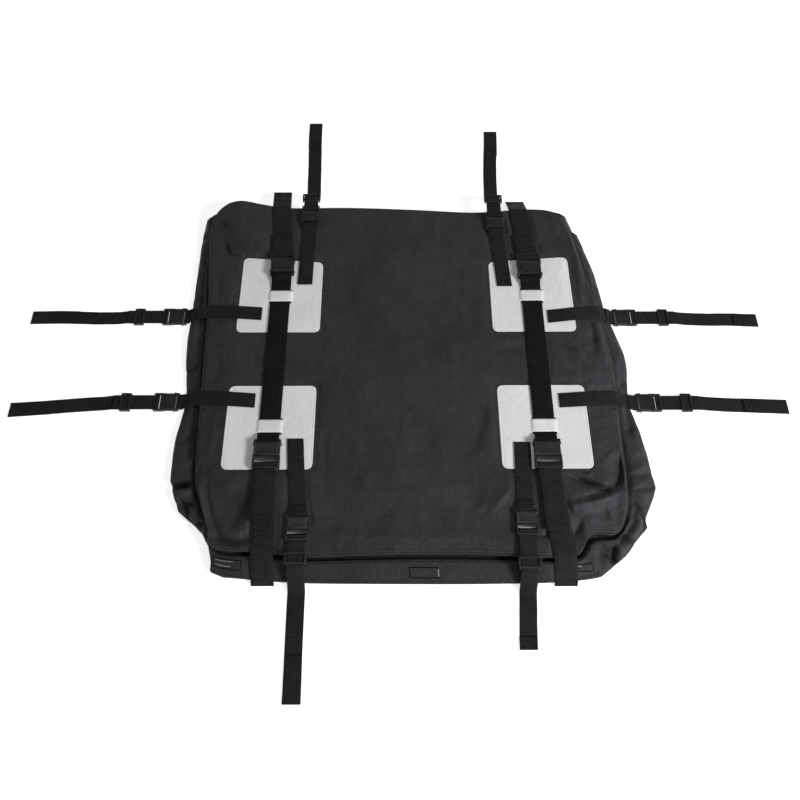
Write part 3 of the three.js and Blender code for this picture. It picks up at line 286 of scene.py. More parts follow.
class Shape:
    """Collects points, faces, cloth coordinates in metres and a material number for each face, and a fold
    value for each point that sets painted shade in folds and painted highlight on ridges.
    """

    def __init__(self):
        self.points, self.faces, self.cloth, self.slots, self.folds = [], [], [], [], []
        self.count = 0

    def add(self, points, faces, cloth=None, slot=0, fold=None):
        points = np.asarray(points, float)
        cloth = points[:, :2] if cloth is None else np.asarray(cloth, float)
        self.points.append(points)
        self.cloth.append(cloth)
        self.folds.append(np.zeros(len(points)) if fold is None else np.asarray(fold, float))
        self.faces.extend([int(k) + self.count for k in face] for face in faces)
        self.slots.extend([slot] * len(faces))
        self.count += len(points)

    def add_grid(self, grid, wrap=False, flip=False, cloth=None, slot=0, fold=None):
        """Adds rows of points with faces between them."""
        faces = grid_faces(*grid.shape[:2], wrap)
        cloth = None if cloth is None else cloth.reshape(-1, 2)
        self.add(grid.reshape(-1, 3), faces[:, ::-1] if flip else faces, cloth, slot, fold)

    def close(self, faces):
        """Adds faces between points that are already there."""
        self.faces.extend([int(k) for k in face] for face in faces)
        self.slots.extend([0] * len(faces))

    def close_ends(self, first, size, count, flip=False):
        """Closes both ends of a tube, whose rings of the given size start at the first point."""
        start = list(range(first, first + size))
        end = [k + (count - 1) * size for k in start]
        self.close([start, end[::-1]] if flip else [start[::-1], end])

    def make(self, name, materials, weld=0.0):
        mesh = bpy.data.meshes.new(name)
        points = np.concatenate(self.points)
        mesh.from_pydata(points.tolist(), [], self.faces)
        corners = np.zeros(len(mesh.loops), int)
        mesh.loops.foreach_get("vertex_index", corners)
        layer = mesh.uv_layers.new(name="cloth")
        layer.data.foreach_set("uv", np.concatenate(self.cloth)[corners].astype(np.float32).ravel())
        # The fold attribute: painted shade in folds and painted highlight on ridges
        fold = mesh.attributes.new("fold", "FLOAT", "POINT")
        fold.data.foreach_set("value", np.concatenate(self.folds).astype(np.float32))
        mesh.polygons.foreach_set("material_index", np.array(self.slots, np.int32))
        mesh.polygons.foreach_set("use_smooth", np.ones(len(mesh.polygons), bool))
        if weld:
            work = bmesh.new()
            work.from_mesh(mesh)
            bmesh.ops.remove_doubles(work, verts=work.verts, dist=weld)
            work.to_mesh(mesh)
            work.free()
        for material in materials:
            mesh.materials.append(material)
        made = bpy.data.objects.new(name, mesh)
        bpy.context.scene.collection.objects.link(made)
        return made


def grid_faces(rows, columns, wrap=False):
    index = np.arange(rows * columns).reshape(rows, columns)
    if wrap:
        index = np.hstack([index, index[:, :1]])
    corners = (index[:-1, :-1], index[:-1, 1:], index[1:, 1:], index[1:, :-1])
    return np.stack(corners, -1).reshape(-1, 4)


def tree_of(meshes):
    """A tree of meshes for casting rays."""
    points, faces = [], []
    for mesh in meshes:
        base = len(points)
        points.extend(v.co.copy() for v in mesh.vertices)
        faces.extend([base + k for k in p.vertices] for p in mesh.polygons)
    return BVHTree.FromPolygons(points, faces)


def nodes_tree(names):
    return tree_of([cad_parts[name].data for name in names])


def cast(tree, x, y, start, direction, missing):
    """The height at which a vertical ray from each point meets the tree."""
    x, y = np.asarray(x), np.asarray(y)
    found = np.full(x.shape, missing, float)
    way = Vector((0, 0, direction))
    for k in np.ndindex(x.shape):
        hit = tree.ray_cast(Vector((x[k], y[k], start)), way)[0]
        if hit is not None:
            found[k] = hit.z
    return found


def top_of(tree, x, y):
    return cast(tree, x, y, RAY_ABOVE, -1, PANEL_HEIGHT)


def bottom_of(tree, x, y):
    return cast(tree, x, y, RAY_BELOW, 1, OPEN_SKY)


def lowest_near(heights, reach):
    """The lowest of each height and its neighbours along the second axis."""
    return np.min([np.roll(heights, k, 1) for k in range(-reach, reach + 1)], axis=0)


def add_stitches(shape, path, normals, slot, pitch=3.6, length=2.7, width=0.75, height=0.42):
    """A row of thread stitches along a path on a surface."""
    path, normals = np.asarray(path, float), np.asarray(normals, float)
    both = resample(np.hstack([path, normals]), pitch * MM)
    places, ups = both[:, :3], unit(both[:, 3:])
    if len(places) < 2:
        return
    middle = (places[:-1] + places[1:]) / 2
    up = unit(ups[:-1] + ups[1:])
    along = unit(places[1:] - places[:-1])
    across = np.cross(up, along)
    reach, half, rise = length * MM / 2, width * MM / 2, height * MM
    offsets = [(a, b, c) for a in (-.55, .55) for b, c in ((1, 0), (0, 1), (-1, 0))]
    offsets = [(-1, 0, -.2), *offsets, (1, 0, -.2)]
    corners = [middle + along * a * reach + across * b * half + up * c * rise for a, b, c in offsets]
    count = len(middle)
    points = np.stack(corners, 1).reshape(-1, 3)
    one = [(0, 1, 2, 2), (0, 2, 3, 3), (1, 4, 5, 2), (2, 5, 6, 3), (7, 5, 4, 4), (7, 6, 5, 5), (0, 3, 1, 1),
           (1, 3, 6, 4), (7, 4, 6, 6)]
    faces = [tuple(dict.fromkeys(k + 8 * n for k in face)) for n in range(count) for face in one]
    shape.add(points, faces, slot=slot)


# Materials

class Nodes:
    """A short way to write a material's nodes."""

    def __init__(self, name):
        self.material = bpy.data.materials.new(name)
        self.material.use_nodes = True
        self.tree = self.material.node_tree
        self.shader = next(n for n in self.tree.nodes if n.type == "BSDF_PRINCIPLED")

    def put(self, socket, value):
        """Sets a socket to a number, a colour or a vector, or links an output to it."""
        if isinstance(value, (int, float)):
            socket.default_value = value
        elif isinstance(value, tuple):
            socket.default_value = (*value, 1)[:len(socket.default_value)]
        else:
            self.tree.links.new(value, socket)

    def add(self, kind, **inputs):
        node = self.tree.nodes.new("ShaderNode" + kind)
        for name, value in inputs.items():
            self.put(node.inputs[name.replace("_", " ")], value)
        return node

    def math(self, operation, *values):
        node = self.add("Math")
        node.operation = operation
        for socket, value in zip(node.inputs, values):
            self.put(socket, value)
        return node.outputs[0]

    def cloth(self):
        """The two cloth coordinates, in metres."""
        uv = self.add("UVMap")
        uv.uv_map = "cloth"
        return self.add("SeparateXYZ", Vector=uv.outputs[0]).outputs[:2]

    def place(self):
        return self.add("TexCoord").outputs["Object"]

    def fold(self):
        """How far inside a fold the point lies: the mask for painted shade in folds and painted highlight on
        ridges.
        """
        node = self.add("Attribute")
        node.attribute_name = "fold"
        return node.outputs["Fac"]

    def streaks(self, along, across):
        """Noise stretched over the cloth, with its own scale along it and across it."""
        u, v = self.cloth()
        node = self.add("CombineXYZ", X=self.math("MULTIPLY", u, along), Y=self.math("MULTIPLY", v, across))
        return self.noise(1, 3, 0.6, node.outputs[0])

    def noise(self, scale, detail=3.0, roughness=0.55, source=None):
        return self.add("TexNoise", Scale=scale, Detail=detail, Roughness=roughness,
                        Vector=source or self.place()).outputs[0]

    def cells(self, scale):
        """Distance from the edges between irregular cells."""
        node = self.add("TexVoronoi", Scale=scale, Vector=self.place())
        node.feature = "DISTANCE_TO_EDGE"
        return node.outputs["Distance"]

    def scale_to(self, value, low, high, new_low, new_high):
        return self.add("MapRange", Value=value, From_Min=low, From_Max=high,
                        To_Min=new_low, To_Max=new_high).outputs[0]

    def mix(self, share, first, second):
        node = self.add("Mix")
        node.data_type = "RGBA"
        self.put(node.inputs["Factor"], share)
        for key, value in (("A", first), ("B", second)):
            self.put(next(s for s in node.inputs if s.name == key and s.type == "RGBA"), value)
        return next(s for s in node.outputs if s.type == "RGBA")

    def bump(self, height, distance, strength=1.0, after=None):
        node = self.add("Bump", Distance=distance, Strength=strength, Height=height)
        if after is not None:
            self.put(node.inputs["Normal"], after)
        return node.outputs[0]

    def set(self, **values):
        for key, value in values.items():
            self.put(self.shader.inputs[key.replace("_", " ")], value)
        return self.material


def times(colour, factor):
    return tuple(c * factor for c in colour)


def waves(n, value, length):
    """A sine over a value in metres, with the given wavelength."""
    return n.math("SINE", n.math("MULTIPLY", value, 2 * math.pi / length))


def woven(n, pitch):
    """Height of a plain weave with the given thread pitch in metres, from 0 to 1."""
    warp, weft = (waves(n, value, pitch) for value in n.cloth())
    return n.math("MULTIPLY_ADD", n.math("MULTIPLY", warp, weft), 0.5, 0.5)


def coated_fabric(name, dark, light):
    """Charcoal woven polyester with a matt coating: fine weave, mottled fibres, soft crumple, painted shade
    in folds and painted highlight on ridges.
    """
    n = Nodes(name)
    weave = woven(n, 1.1 * MM)
    broad = n.noise(3.2, 4)
    cloudy = n.noise(16, 5, 0.6)
    creased = n.noise(9, 6, 0.64)
    mottled = n.noise(75, 4, 0.65)
    tone = n.math("MULTIPLY_ADD", cloudy, 0.35, n.math("MULTIPLY", broad, 0.4))
    tone = n.scale_to(n.math("MULTIPLY_ADD", mottled, 0.25, tone), 0.36, 0.64, 0, 1)
    colour = n.mix(tone, dark, light)
    colour = n.mix(n.scale_to(n.noise(310, 2), 0.68, 0.76, 0, 0.3), colour, times(light, 2.0))
    colour = n.mix(n.scale_to(weave, 0, 1, 0.22, 0), colour, times(dark, 0.5))
    # Painted shade in folds and in the groove under the rim, and painted highlight on ridges, from the fold
    # attribute
    fold = n.fold()
    colour = n.mix(n.scale_to(fold, 0.12, 1, 0, 0.82), colour, times(dark, 0.22))
    colour = n.mix(n.scale_to(fold, -0.15, -1, 0, 0.4), colour, times(light, 1.25))
    ridges = n.math("ABSOLUTE", n.math("SUBTRACT", creased, 0.5))
    soft = n.bump(n.scale_to(ridges, 0.0, 0.1, 1, 0), 2.4 * MM, 0.45)
    soft = n.bump(cloudy, 2.4 * MM, 0.5, soft)
    soft = n.bump(mottled, 0.5 * MM, 0.25, soft)
    normal = n.bump(weave, 0.1 * MM, 0.5, soft)
    rough = n.scale_to(n.noise(60, 3), 0.3, 0.7, 0.58, 0.74)
    return n.set(Base_Color=colour, Roughness=rough, Normal=normal, Specular_IOR_Level=0.26,
                 Sheen_Weight=0.05, Sheen_Roughness=0.5)


def patch_cloth():
    """Pale reinforcement fabric with a fine grain, faint dimples and greyer rubbed places."""
    n = Nodes("patch_fabric")
    weave = woven(n, 0.9 * MM)
    cloudy = n.noise(9, 5, 0.6)
    colour = n.mix(n.scale_to(cloudy, 0.3, 0.7, 0, 1), (0.75, 0.75, 0.77), (0.86, 0.86, 0.875))
    colour = n.mix(n.scale_to(weave, 0, 1, 0.16, 0), colour, (0.34, 0.34, 0.36))
    marks = n.scale_to(n.noise(140, 2), 0.66, 0.76, 0, 0.12)
    colour = n.mix(marks, colour, (0.36, 0.36, 0.37))
    soft = n.bump(n.scale_to(n.cells(26), 0, 0.2, 0, 1), 0.7 * MM, 0.35)
    soft = n.bump(cloudy, 2.5 * MM, 0.35, soft)
    normal = n.bump(weave, 0.08 * MM, 0.5, soft)
    rough = n.scale_to(n.noise(50, 3), 0.3, 0.7, 0.42, 0.58)
    return n.set(Base_Color=colour, Roughness=rough, Normal=normal, Specular_IOR_Level=0.4)


def webbing_cloth(name, depth):
    """Black polyester webbing: a chevron rib across its width, uneven weft lines and a little fuzz. A
    greater depth gives a deeper black."""
    n = Nodes(name)
    u, v = n.cloth()
    zigzag = n.math("PINGPONG", n.math("ADD", v, 1.0), 4.2 * MM)
    threads = waves(n, v, 1.05 * MM)
    rib = n.math("MULTIPLY_ADD", waves(n, n.math("MULTIPLY_ADD", zigzag, 0.9, u), 1.9 * MM), 0.5, 0.5)
    height = n.math("ADD", rib, n.math("MULTIPLY_ADD", threads, 0.22, 0.22))
    weft = n.streaks(190, 30)
    warp = n.streaks(14, 330)
    cloudy = n.noise(22, 4, 0.6)
    fuzz = n.noise(900, 2)
    tone = n.math("MULTIPLY_ADD", weft, 0.5, n.math("MULTIPLY", warp, 0.2))
    tone = n.scale_to(n.math("MULTIPLY_ADD", cloudy, 0.3, tone), 0.36, 0.64, 0, 1)
    light = times((0.0125, 0.0135, 0.0130), 1 / depth)
    colour = n.mix(tone, (0.0012, 0.0014, 0.0013), light)
    colour = n.mix(n.scale_to(rib, 0.2, 1, 0, 0.3), colour, light)
    colour = n.mix(n.scale_to(fuzz, 0.6, 0.8, 0, 0.2), colour, times(light, 2.2))
    soft = n.bump(cloudy, 1.6 * MM, 0.4)
    soft = n.bump(weft, 0.9 * MM, 0.5, soft)
    normal = n.bump(height, 0.32 * MM, 0.7, soft)
    rough = n.scale_to(rib, 0, 1, 0.85, 0.62)
    return n.set(Base_Color=colour, Roughness=rough, Normal=normal, Specular_IOR_Level=0.2 / depth,
                 Sheen_Weight=0.02 / depth, Sheen_Roughness=0.4)


def thread_material(name, base, light):
    n = Nodes(name)
    tone = n.scale_to(waves(n, n.math("ADD", *n.cloth()), 0.7 * MM), -1, 1, 0, 1)
    return n.set(Base_Color=n.mix(tone, base, light), Roughness=0.8, Normal=n.bump(tone, 0.1 * MM, 0.6),
                 Specular_IOR_Level=0.08)


def moulded_plastic():
    """Black moulded plastic: an even gloss with a faint grain, fine scratches and dull rubbed patches."""
    n = Nodes("buckle_plastic")
    grain = n.noise(1600, 2)
    handled = n.noise(70, 4)
    scratches = n.noise(3, 2, source=n.add("Mapping", Vector=n.place(), Scale=(60, 900, 200)).outputs[0])
    colour = n.mix(n.scale_to(handled, 0.35, 0.7, 0, 1), (0.0075, 0.0078, 0.0085), (0.0135, 0.0138, 0.0148))
    colour = n.mix(n.scale_to(scratches, 0.68, 0.74, 0, 0.25), colour, (0.05, 0.05, 0.053))
    rough = n.scale_to(handled, 0.3, 0.7, 0.36, 0.5)
    soft = n.bump(grain, 0.02 * MM, 0.25)
    normal = n.bump(scratches, 0.03 * MM, 0.2, soft)
    return n.set(Base_Color=colour, Roughness=rough, Normal=normal, Specular_IOR_Level=0.5)


FABRIC = coated_fabric("coated_fabric", (0.0195, 0.0200, 0.0228), (0.036, 0.0368, 0.0418))
FLAP_FABRIC = coated_fabric("flap_fabric", (0.017, 0.0176, 0.0196), (0.030, 0.0308, 0.0344))
PATCH_CLOTH = patch_cloth()
WEBBING = webbing_cloth("webbing", 0.85)
DEEP_WEBBING = webbing_cloth("wide_webbing", 1.5)
BLACK_THREAD = thread_material("black_thread", (0.003, 0.003, 0.0032), (0.009, 0.009, 0.0095))
GREY_THREAD = thread_material("grey_thread", (0.010, 0.010, 0.011), (0.024, 0.024, 0.026))
# For the pale bars across the closure tapes
PALE_BAR = thread_material("pale_bar", (0.17, 0.175, 0.185), (0.31, 0.315, 0.33))
PLASTIC = moulded_plastic()


# Bag body

strap_nodes = [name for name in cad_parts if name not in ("bag_shell", "zip_flap")]
bag_tree = nodes_tree(["bag_shell"])
above_tree = nodes_tree(strap_nodes)
over_tree = nodes_tree([name for name in strap_nodes if not name.startswith("patch")])

seam_points = np.array([seam for seam, _ in STATIONS]) * MM
edge_points = np.array([edge for _, edge in STATIONS]) * MM
for station, corner in DRAWN_IN.items():
    seam_points[station] = np.array(corner) * MM


def sharpened(line, places):
    """The outline with its straight runs put in."""
    made = line.copy()
    for start, end, corners in SHARP_RUNS:
        fine = np.linspace(start, end, 300)
        curve = closed_spline(edge_points, fine)[:, :2]
        straight = np.vstack([curve[:1], np.array(corners) * MM, curve[-1:]])
        along, run = lengths_along(curve), lengths_along(straight)
        turn = (places - start) % COUNT
        inside = turn < end - start
        share = np.interp(turn[inside] + start, fine, along) / along[-1]
        for axis in (0, 1):
            made[inside, axis] = np.interp(share * run[-1], run, straight[:, axis])
    return made


def crowded(cells):
    """Shares from 0 to 1 in steps that are shorter towards both ends."""
    even = np.linspace(0, 1, cells + 1)
    return even - CROWDING * np.sin(2 * math.pi * even) / (2 * math.pi)


def side_places(start, end, cells):
    """Places along one side of the outline, closer together towards its ends."""
    fine = np.linspace(start, end, 900)
    length = lengths_along(closed_spline(seam_points, fine))
    return np.interp(crowded(cells) * length[-1], length, fine)


sides = [side_places(CORNERS[k], CORNERS[k + 1], CELLS_Y if k % 2 else CELLS_X) for k in range(4)]
front, right, back, left = (closed_spline(seam_points, places) for places in sides)
back, left = back[::-1], left[::-1]

s = crowded(CELLS_X)[:, None, None]
t = crowded(CELLS_Y)[None, :, None]
top = ((1 - t) * front[:, None] + t * back[:, None] + (1 - s) * left[None] + s * right[None]
       - (1 - s) * (1 - t) * front[0] - s * (1 - t) * front[-1] - (1 - s) * t * back[0] - s * t * back[-1])
x, y = top[..., 0], top[..., 1]

level = top[..., 2].copy()
level[1:-1, 1:-1] = top_of(bag_tree, x[1:-1, 1:-1], y[1:-1, 1:-1])
SMOOTHING_PASSES = 30
for _ in range(SMOOTHING_PASSES):
    middle = level[1:-1, 1:-1]
    around = (level[:-2, 1:-1] + level[2:, 1:-1] + level[1:-1, :-2] + level[1:-1, 2:]) / 4
    level[1:-1, 1:-1] = middle * 0.4 + around * 0.6

# Distance from the rim, for its roll and for wrinkles that die out there
from_rim = np.minimum(np.minimum(s, 1 - s) * PANEL_WIDTH, np.minimum(t, 1 - t) * PANEL_LENGTH)[..., 0]
RIM_ROLL, ROLL_REACH, WRINKLE_REACH = 2.2 * MM, 6 * MM, 11 * MM
level += RIM_ROLL * (1 - np.exp(-from_rim / ROLL_REACH))

# Wrinkles: less of them under the patches and in the middle, and more at the sides where cloth is bunched
wrinkles = np.zeros_like(level)
# How deep in folds each point lies, for painted shade in folds and painted highlight on ridges
depth = np.zeros_like(level)
for line, width, fold, bias in CREASES:
    one_fold = crease_height(x, y, line, width, fold, bias)
    wrinkles += one_fold
    depth += fold_shade(one_fold)
beyond = np.maximum(np.abs(np.abs(x) - PATCH_X) - PATCH_WIDTH / 2,
                    np.abs(np.abs(y) - PATCH_Y) - PATCH_LENGTH / 2)
calm = 0.25 + 0.75 * smooth((beyond - 4 * MM) / (26 * MM))
centre_calm = 0.6 + 0.4 * smooth((np.maximum(np.abs(x), np.abs(y)) - 0.2) / 0.2)
worn = 1 + 1.6 * smooth((x - 0.34) / 0.08) + 0.7 * smooth((-0.36 - x) / 0.07)
wrinkles += 1.9 * MM * centre_calm * worn * crumple(x, y, 0.14, 11)
wrinkles += 1.5 * MM * centre_calm * worn * crumple(x, y, 0.06, 23)
wrinkles += 0.9 * MM * lattice_noise(x, y, 0.11, 31) + 0.3 * MM * lattice_noise(x, y, 0.03, 37)
wrinkles += 0.38 * MM * worn * crumple(x, y, 0.027, 61)
level += wrinkles * calm * smooth(from_rim / WRINKLE_REACH)

# How far the male halves at the front and back slide outward over the bag when they are released
RELEASE_TRAVEL = {"wide_buckle": 36 * MM, "buckle": 30 * MM}
SLIDE_SHARES = (0.35, 0.7, 1.0)
CLEAR_BELOW = 0.5 * MM
slides = []
for end, way in (("back", 1), ("front", -1)):
    for kind, travel in RELEASE_TRAVEL.items():
        halves = nodes_tree([f"{kind}_{end}_{side}_male" for side in ("left", "right")])
        slides += [(halves, way * travel * share) for share in SLIDE_SHARES]


def room_above(x, y):
    """The height at which something lies over each point, or slides over it."""
    room = bottom_of(above_tree, x, y)
    for halves, moved in slides:
        room = np.minimum(room, bottom_of(halves, x, y - moved))
    return room


# Nothing of the panel comes up through what lies on it.
ceiling = room_above(x, y)
for _ in range(2):
    padded = np.pad(ceiling, 1, mode="edge")
    ceiling = np.min([padded[a:a + x.shape[0], b:b + x.shape[1]] for a in range(3) for b in range(3)], axis=0)
top[..., 2] = np.minimum(level, ceiling - CLEAR_BELOW)


def ring_of(cells_x, cells_y, inset=0):
    """Indices of a grid's ring at that many cells from the rim, anticlockwise from the front left."""
    i0, i1, j0, j1 = inset, cells_x - inset, inset, cells_y - inset
    ring = [(i, j0) for i in range(i0, i1)] + [(i1, j) for j in range(j0, j1)]
    ring += [(i, j1) for i in range(i1, i0, -1)] + [(i0, j) for j in range(j1, j0, -1)]
    return tuple(np.array(ring).T)


# Walls and underside
places = np.concatenate([side[:-1] for side in sides])
seam = top[ring_of(CELLS_X, CELLS_Y)]
edge = sharpened(closed_spline(edge_points, places), places)
outward = edge - seam
outward[:, 2] = 0
outward = unit(outward)
crease = seam + (edge - seam) * CREASE_SHARE
crease[:, 2] = seam[:, 2] - CREASE_DEPTH
groove = np.interp(places % COUNT, np.arange(COUNT + 1), GROOVES + GROOVES[:1])[:, None] * MM
around_bag = lengths_along(np.vstack([edge, edge[:1]]))
up = np.array([0, 0, 1.0])


def wall_point(crease, edge, share):
    """Points of the wall at a share of the way from the crease to the edge, curved outward."""
    control = (crease + edge) / 2 + 2 * up * GUSSET_BULGE
    return (1 - share) ** 2 * crease + 2 * share * (1 - share) * control + share ** 2 * edge


# The rim's lip and the groove below it: how far out each row lies and how far down, in millimetres, and the
# share of the groove's depth that it reaches at least.
LIP = ((0, 0, 0), (1.7, 1.0, 0), (2.4, 3.2, 0), (1.2, 5.6, 0), (-0.8, 6.2, 0.45), (-1.2, 6.8, 0.75),
       (0.6, 7.6, 1), (3.6, 8, 1))
rows = [seam + outward * out * MM - up * np.maximum(down * MM, groove * share) for out, down, share in LIP]
rows.append(crease - outward * 1.4 * MM - up * np.maximum(1 * MM, (groove - CREASE_DEPTH) * 0.75))
WALL_SHARES = (0.06, 0.13, 0.21, 0.3, 0.4, 0.5, 0.6, 0.7, 0.8, 0.9, 1.0)
wall_out = unit(np.cross(np.roll(edge, -1, 0) - np.roll(edge, 1, 0), edge - crease))
wall_out *= np.sign(np.sum(wall_out * outward, 1))[:, None]
# The wall is smooth behind the flap.
flap_middle = FLAP_END / 2
from_flap = np.abs((places + COUNT / 2) % COUNT - COUNT / 2 - flap_middle) - flap_middle
flapped = smooth((0.4 - from_flap) / 0.35)
fold_arc, whole = around_bag[:-1], around_bag[-1]
# Painted shade in the groove under the panel's rim: its share for each row of the lip and the crease row,
# full where the groove is at its full depth
GROOVE_SHADE = (0, 0.1, 0.3, 0.85, 1, 1, 1, 1, 0.75)
FULL_SHADE_GROOVE = 17 * MM
wall_shade = [np.clip(groove[:, 0] / FULL_SHADE_GROOVE, 0, 1) * shade for shade in GROOVE_SHADE]
for share in WALL_SHARES:
    line = wall_point(crease, edge, share)
    window = math.sin(math.pi * min(0.94, max(0.06, share))) ** 0.6
    push = np.zeros(len(line))
    for place, slant, width, fold in WALL_FOLDS:
        centre = np.interp(place, places - places[0] + CORNERS[0], fold_arc)
        away = (fold_arc - centre - slant * (share - 0.5) + whole / 2) % whole - whole / 2
        push += fold * MM * np.exp(-(np.abs(away) / (width * MM)) ** 1.6)
    for points, width, fold, bias in WALL_LINES:
        push += crease_height(line[:, 0], line[:, 1], points, width, fold, bias)
    # Painted shade in the wall's folds and painted highlight on its ridges
    wall_shade.append(fold_shade(push * window * (1 - flapped)))
    for height, size, seed in ((2.4, 0.07, 41), (1.0, 0.025, 47)):
        push += height * MM * crumple(fold_arc, np.full_like(fold_arc, share * 0.06), size, seed)
    push *= window * (1 - flapped)
    rows.append(line + wall_out * (push - flapped * 0.9 * MM * window)[:, None])
BASE_HEIGHT, BASE_LIFT = 0.6 * MM, 1.4 * MM
low = edge - outward * 1.5 * MM
low[:, 2] = edge[:, 2] * 0.4
base = edge - outward * BASE_INSET
base[:, 2] = BASE_HEIGHT
walls = np.array([*rows, low, base])
wall_shade += [wall_shade[-1], np.zeros(len(seam))]
near = lowest_near(room_above(walls[..., 0], walls[..., 1]), 2)
walls[1:-1, :, 2] = np.minimum(walls[1:-1, :, 2], near[1:-1] - CLEAR_BELOW)
walls[..., 2] = np.maximum(walls[..., 2], FLOOR_CLEARANCE)

BASE_SHARES = (0.06, 0.14, 0.26, 0.42, 0.6, 0.8, 0.97)
base_rows = [walls[-1]]
for share in BASE_SHARES:
    line = base * (1 - share)
    lift = BASE_LIFT * (1 + lattice_noise(line[:, 0], line[:, 1], 0.09, 53)) * smooth(share / 0.1)
    line[:, 2] = BASE_HEIGHT + lift
    base_rows.append(line)

bag = Shape()
# Mask of the top panel for painted shade in its folds and painted highlight on its ridges
depth = np.clip(depth, -1, 1) * smooth(from_rim / WRINKLE_REACH) * calm
bag.add_grid(top, flip=True, fold=depth.ravel())
down = np.concatenate([[0], np.cumsum(np.linalg.norm(np.diff(walls, axis=0), axis=2).mean(1))])
ring_count = walls.shape[1]
closed = np.concatenate([walls, walls[:, :1]], 1)
wall_cloth = np.stack(np.meshgrid(around_bag, down, indexing="xy"), -1)
# The walls' painted shade and highlight, as the fold attribute
shade_rows = np.array(wall_shade)
shade_rows = np.concatenate([shade_rows, shade_rows[:, :1]], 1)
bag.add_grid(closed, cloth=wall_cloth, fold=shade_rows.ravel())
bag.add_grid(np.array(base_rows), wrap=True)
bag.add([[0, 0, 2 * MM]], [[k - ring_count, (k + 1) % ring_count - ring_count, 0] for k in range(ring_count)])
bag_body = bag.make("bag_body", [FABRIC], weld=1e-6)

# Topstitching round the panel, a little inside its rim
ring = ring_of(CELLS_X, CELLS_Y, STITCH_RING)
path, ups = (np.vstack([grid[ring], grid[ring][:1]])
             for grid in (top, unit(np.cross(np.gradient(top, axis=0), np.gradient(top, axis=1)))))
seams = Shape()
add_stitches(seams, path, ups, 0)
panel_stitching = seams.make("panel_stitching", [GREY_THREAD])
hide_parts("bag_shell")
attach(bag_body, "bag")
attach(panel_stitching, "bag")

skin = tree_of([bag_body.data])


# Flap over the front zip

FLAP_PLACES = np.linspace(0, FLAP_END, 281)
flap_seam = closed_spline(seam_points, FLAP_PLACES)
flap_edge = closed_spline(edge_points, FLAP_PLACES)
flap_crease = flap_seam + (flap_edge - flap_seam) * CREASE_SHARE
flap_crease[:, 2] = flap_seam[:, 2] - CREASE_DEPTH
slope = unit(flap_edge - flap_crease)
flap_out = unit(np.cross(np.array([1.0, 0, 0]), slope))
flap_out *= np.sign(flap_out[:, 2:])


def flap_point(place, share, lift):
    """A point on the flap: place along it in stations, share from its top to its bottom, and lift above
    the wall in millimetres."""
    place, share = np.broadcast_arrays(np.asarray(place, float), np.asarray(share, float))
    lift = np.broadcast_to(np.asarray(lift, float), place.shape)

    def at(values):
        return np.stack([np.interp(place, FLAP_PLACES, values[:, k]) for k in range(3)], -1)

    out = at(flap_out)
    point = wall_point(at(flap_crease), at(flap_edge), share[..., None])
    wave = sum(height * lattice_noise(point[..., 0], share * 0.05, size, seed)
               for height, size, seed in ((0.9, 0.09, 61), (0.5, 0.03, 67)))
    ripple = 1.7 * np.maximum(wave + 0.2, -0.2) * smooth(share / 0.5) * MM
    return point + out * (lift * MM + ripple)[..., None], unit(out)


# The flap's section, from its lower edge up the back and down the front: share from top to bottom, and lift
# in millimetres. Its hem starts at HEM and is thicker.
FLAP_TOP, HEM, FLAP_BOTTOM = 0.13, 0.86, 0.99
flap_rows = [(share, 0.5) for share in np.linspace(FLAP_BOTTOM, FLAP_TOP, 13)]
flap_rows += [(FLAP_TOP - 0.012, 0.9), (FLAP_TOP - 0.012, 1.5)]
flap_rows += [(share, 1.8 if share < HEM else 2.0) for share in np.linspace(FLAP_TOP, HEM, 14)]
flap_rows += [(0.87, 2.5), (0.93, 2.6), (0.98, 2.5), (FLAP_BOTTOM + 0.012, 1.6), (FLAP_BOTTOM + 0.006, 0.9)]
flap_columns = np.linspace(0.02, FLAP_END - 0.02, 264)
flap_grid = np.array([flap_point(flap_columns, share, lift)[0] for share, lift in flap_rows])
flap_near = lowest_near(bottom_of(over_tree, flap_grid[..., 0], flap_grid[..., 1]), 2)
flap_grid[..., 2] = np.clip(flap_grid[..., 2], 2 * FLOOR_CLEARANCE, flap_near - 0.3 * MM)
flap = Shape()
rounds, count = flap_grid.shape[:2]
flap_cloth = np.stack(np.meshgrid(np.linspace(0, 0.85, count), [share * 0.06 for share, _ in flap_rows]), -1)
flap.add_grid(flap_grid.transpose(1, 0, 2), wrap=True, cloth=flap_cloth.transpose(1, 0, 2))
flap.close_ends(0, rounds, count)
for share, thread_lift in ((FLAP_TOP, 1.95), (0.9, 2.75)):
    path, ups = flap_point(np.linspace(0.06, FLAP_END - 0.06, 540), share, thread_lift)
    add_stitches(flap, path, ups, 1)
zip_flap = flap.make("front_flap", [FLAP_FABRIC, GREY_THREAD])
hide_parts("zip_flap")
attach(zip_flap, "bag")


# Hook-and-loop closures on the flap: middle and half width in metres, the shares of the flap that each
# spans, how much they grow for each metre to the right, and its pale bars as their ends along the tab, the
# share across it and the half height in shares.
CLOSURES = {
    "left": (-0.395, 0.033, 0.20, 0.66, 0, ((-0.75, 0.45, 0.30, 0.018), (-0.72, 0.3, 0.52, 0.018))),
    "middle": (0.037, 0.032, 0.34, 0.78, 0, ((0.93, 1.0, 0.56, 0.15),)),
    "right": (0.3835, 0.0225, 0.33, 0.66, 5.6, ((-0.95, -0.2, 0.40, 0.03),)),
}
TAB_COLUMNS, TAB_ROWS = 25, 9
# Lifts off the wall in millimetres, then the width of the tab's dark border along and across the flap
TAB_BACK, TAB_FRONT, TAB_THREAD, BAR_FRONT = 1.6, 2.7, 3.0, 3.5
TAB_SEAM = 2 * MM
TAB_SEAM_SHARE = 0.044


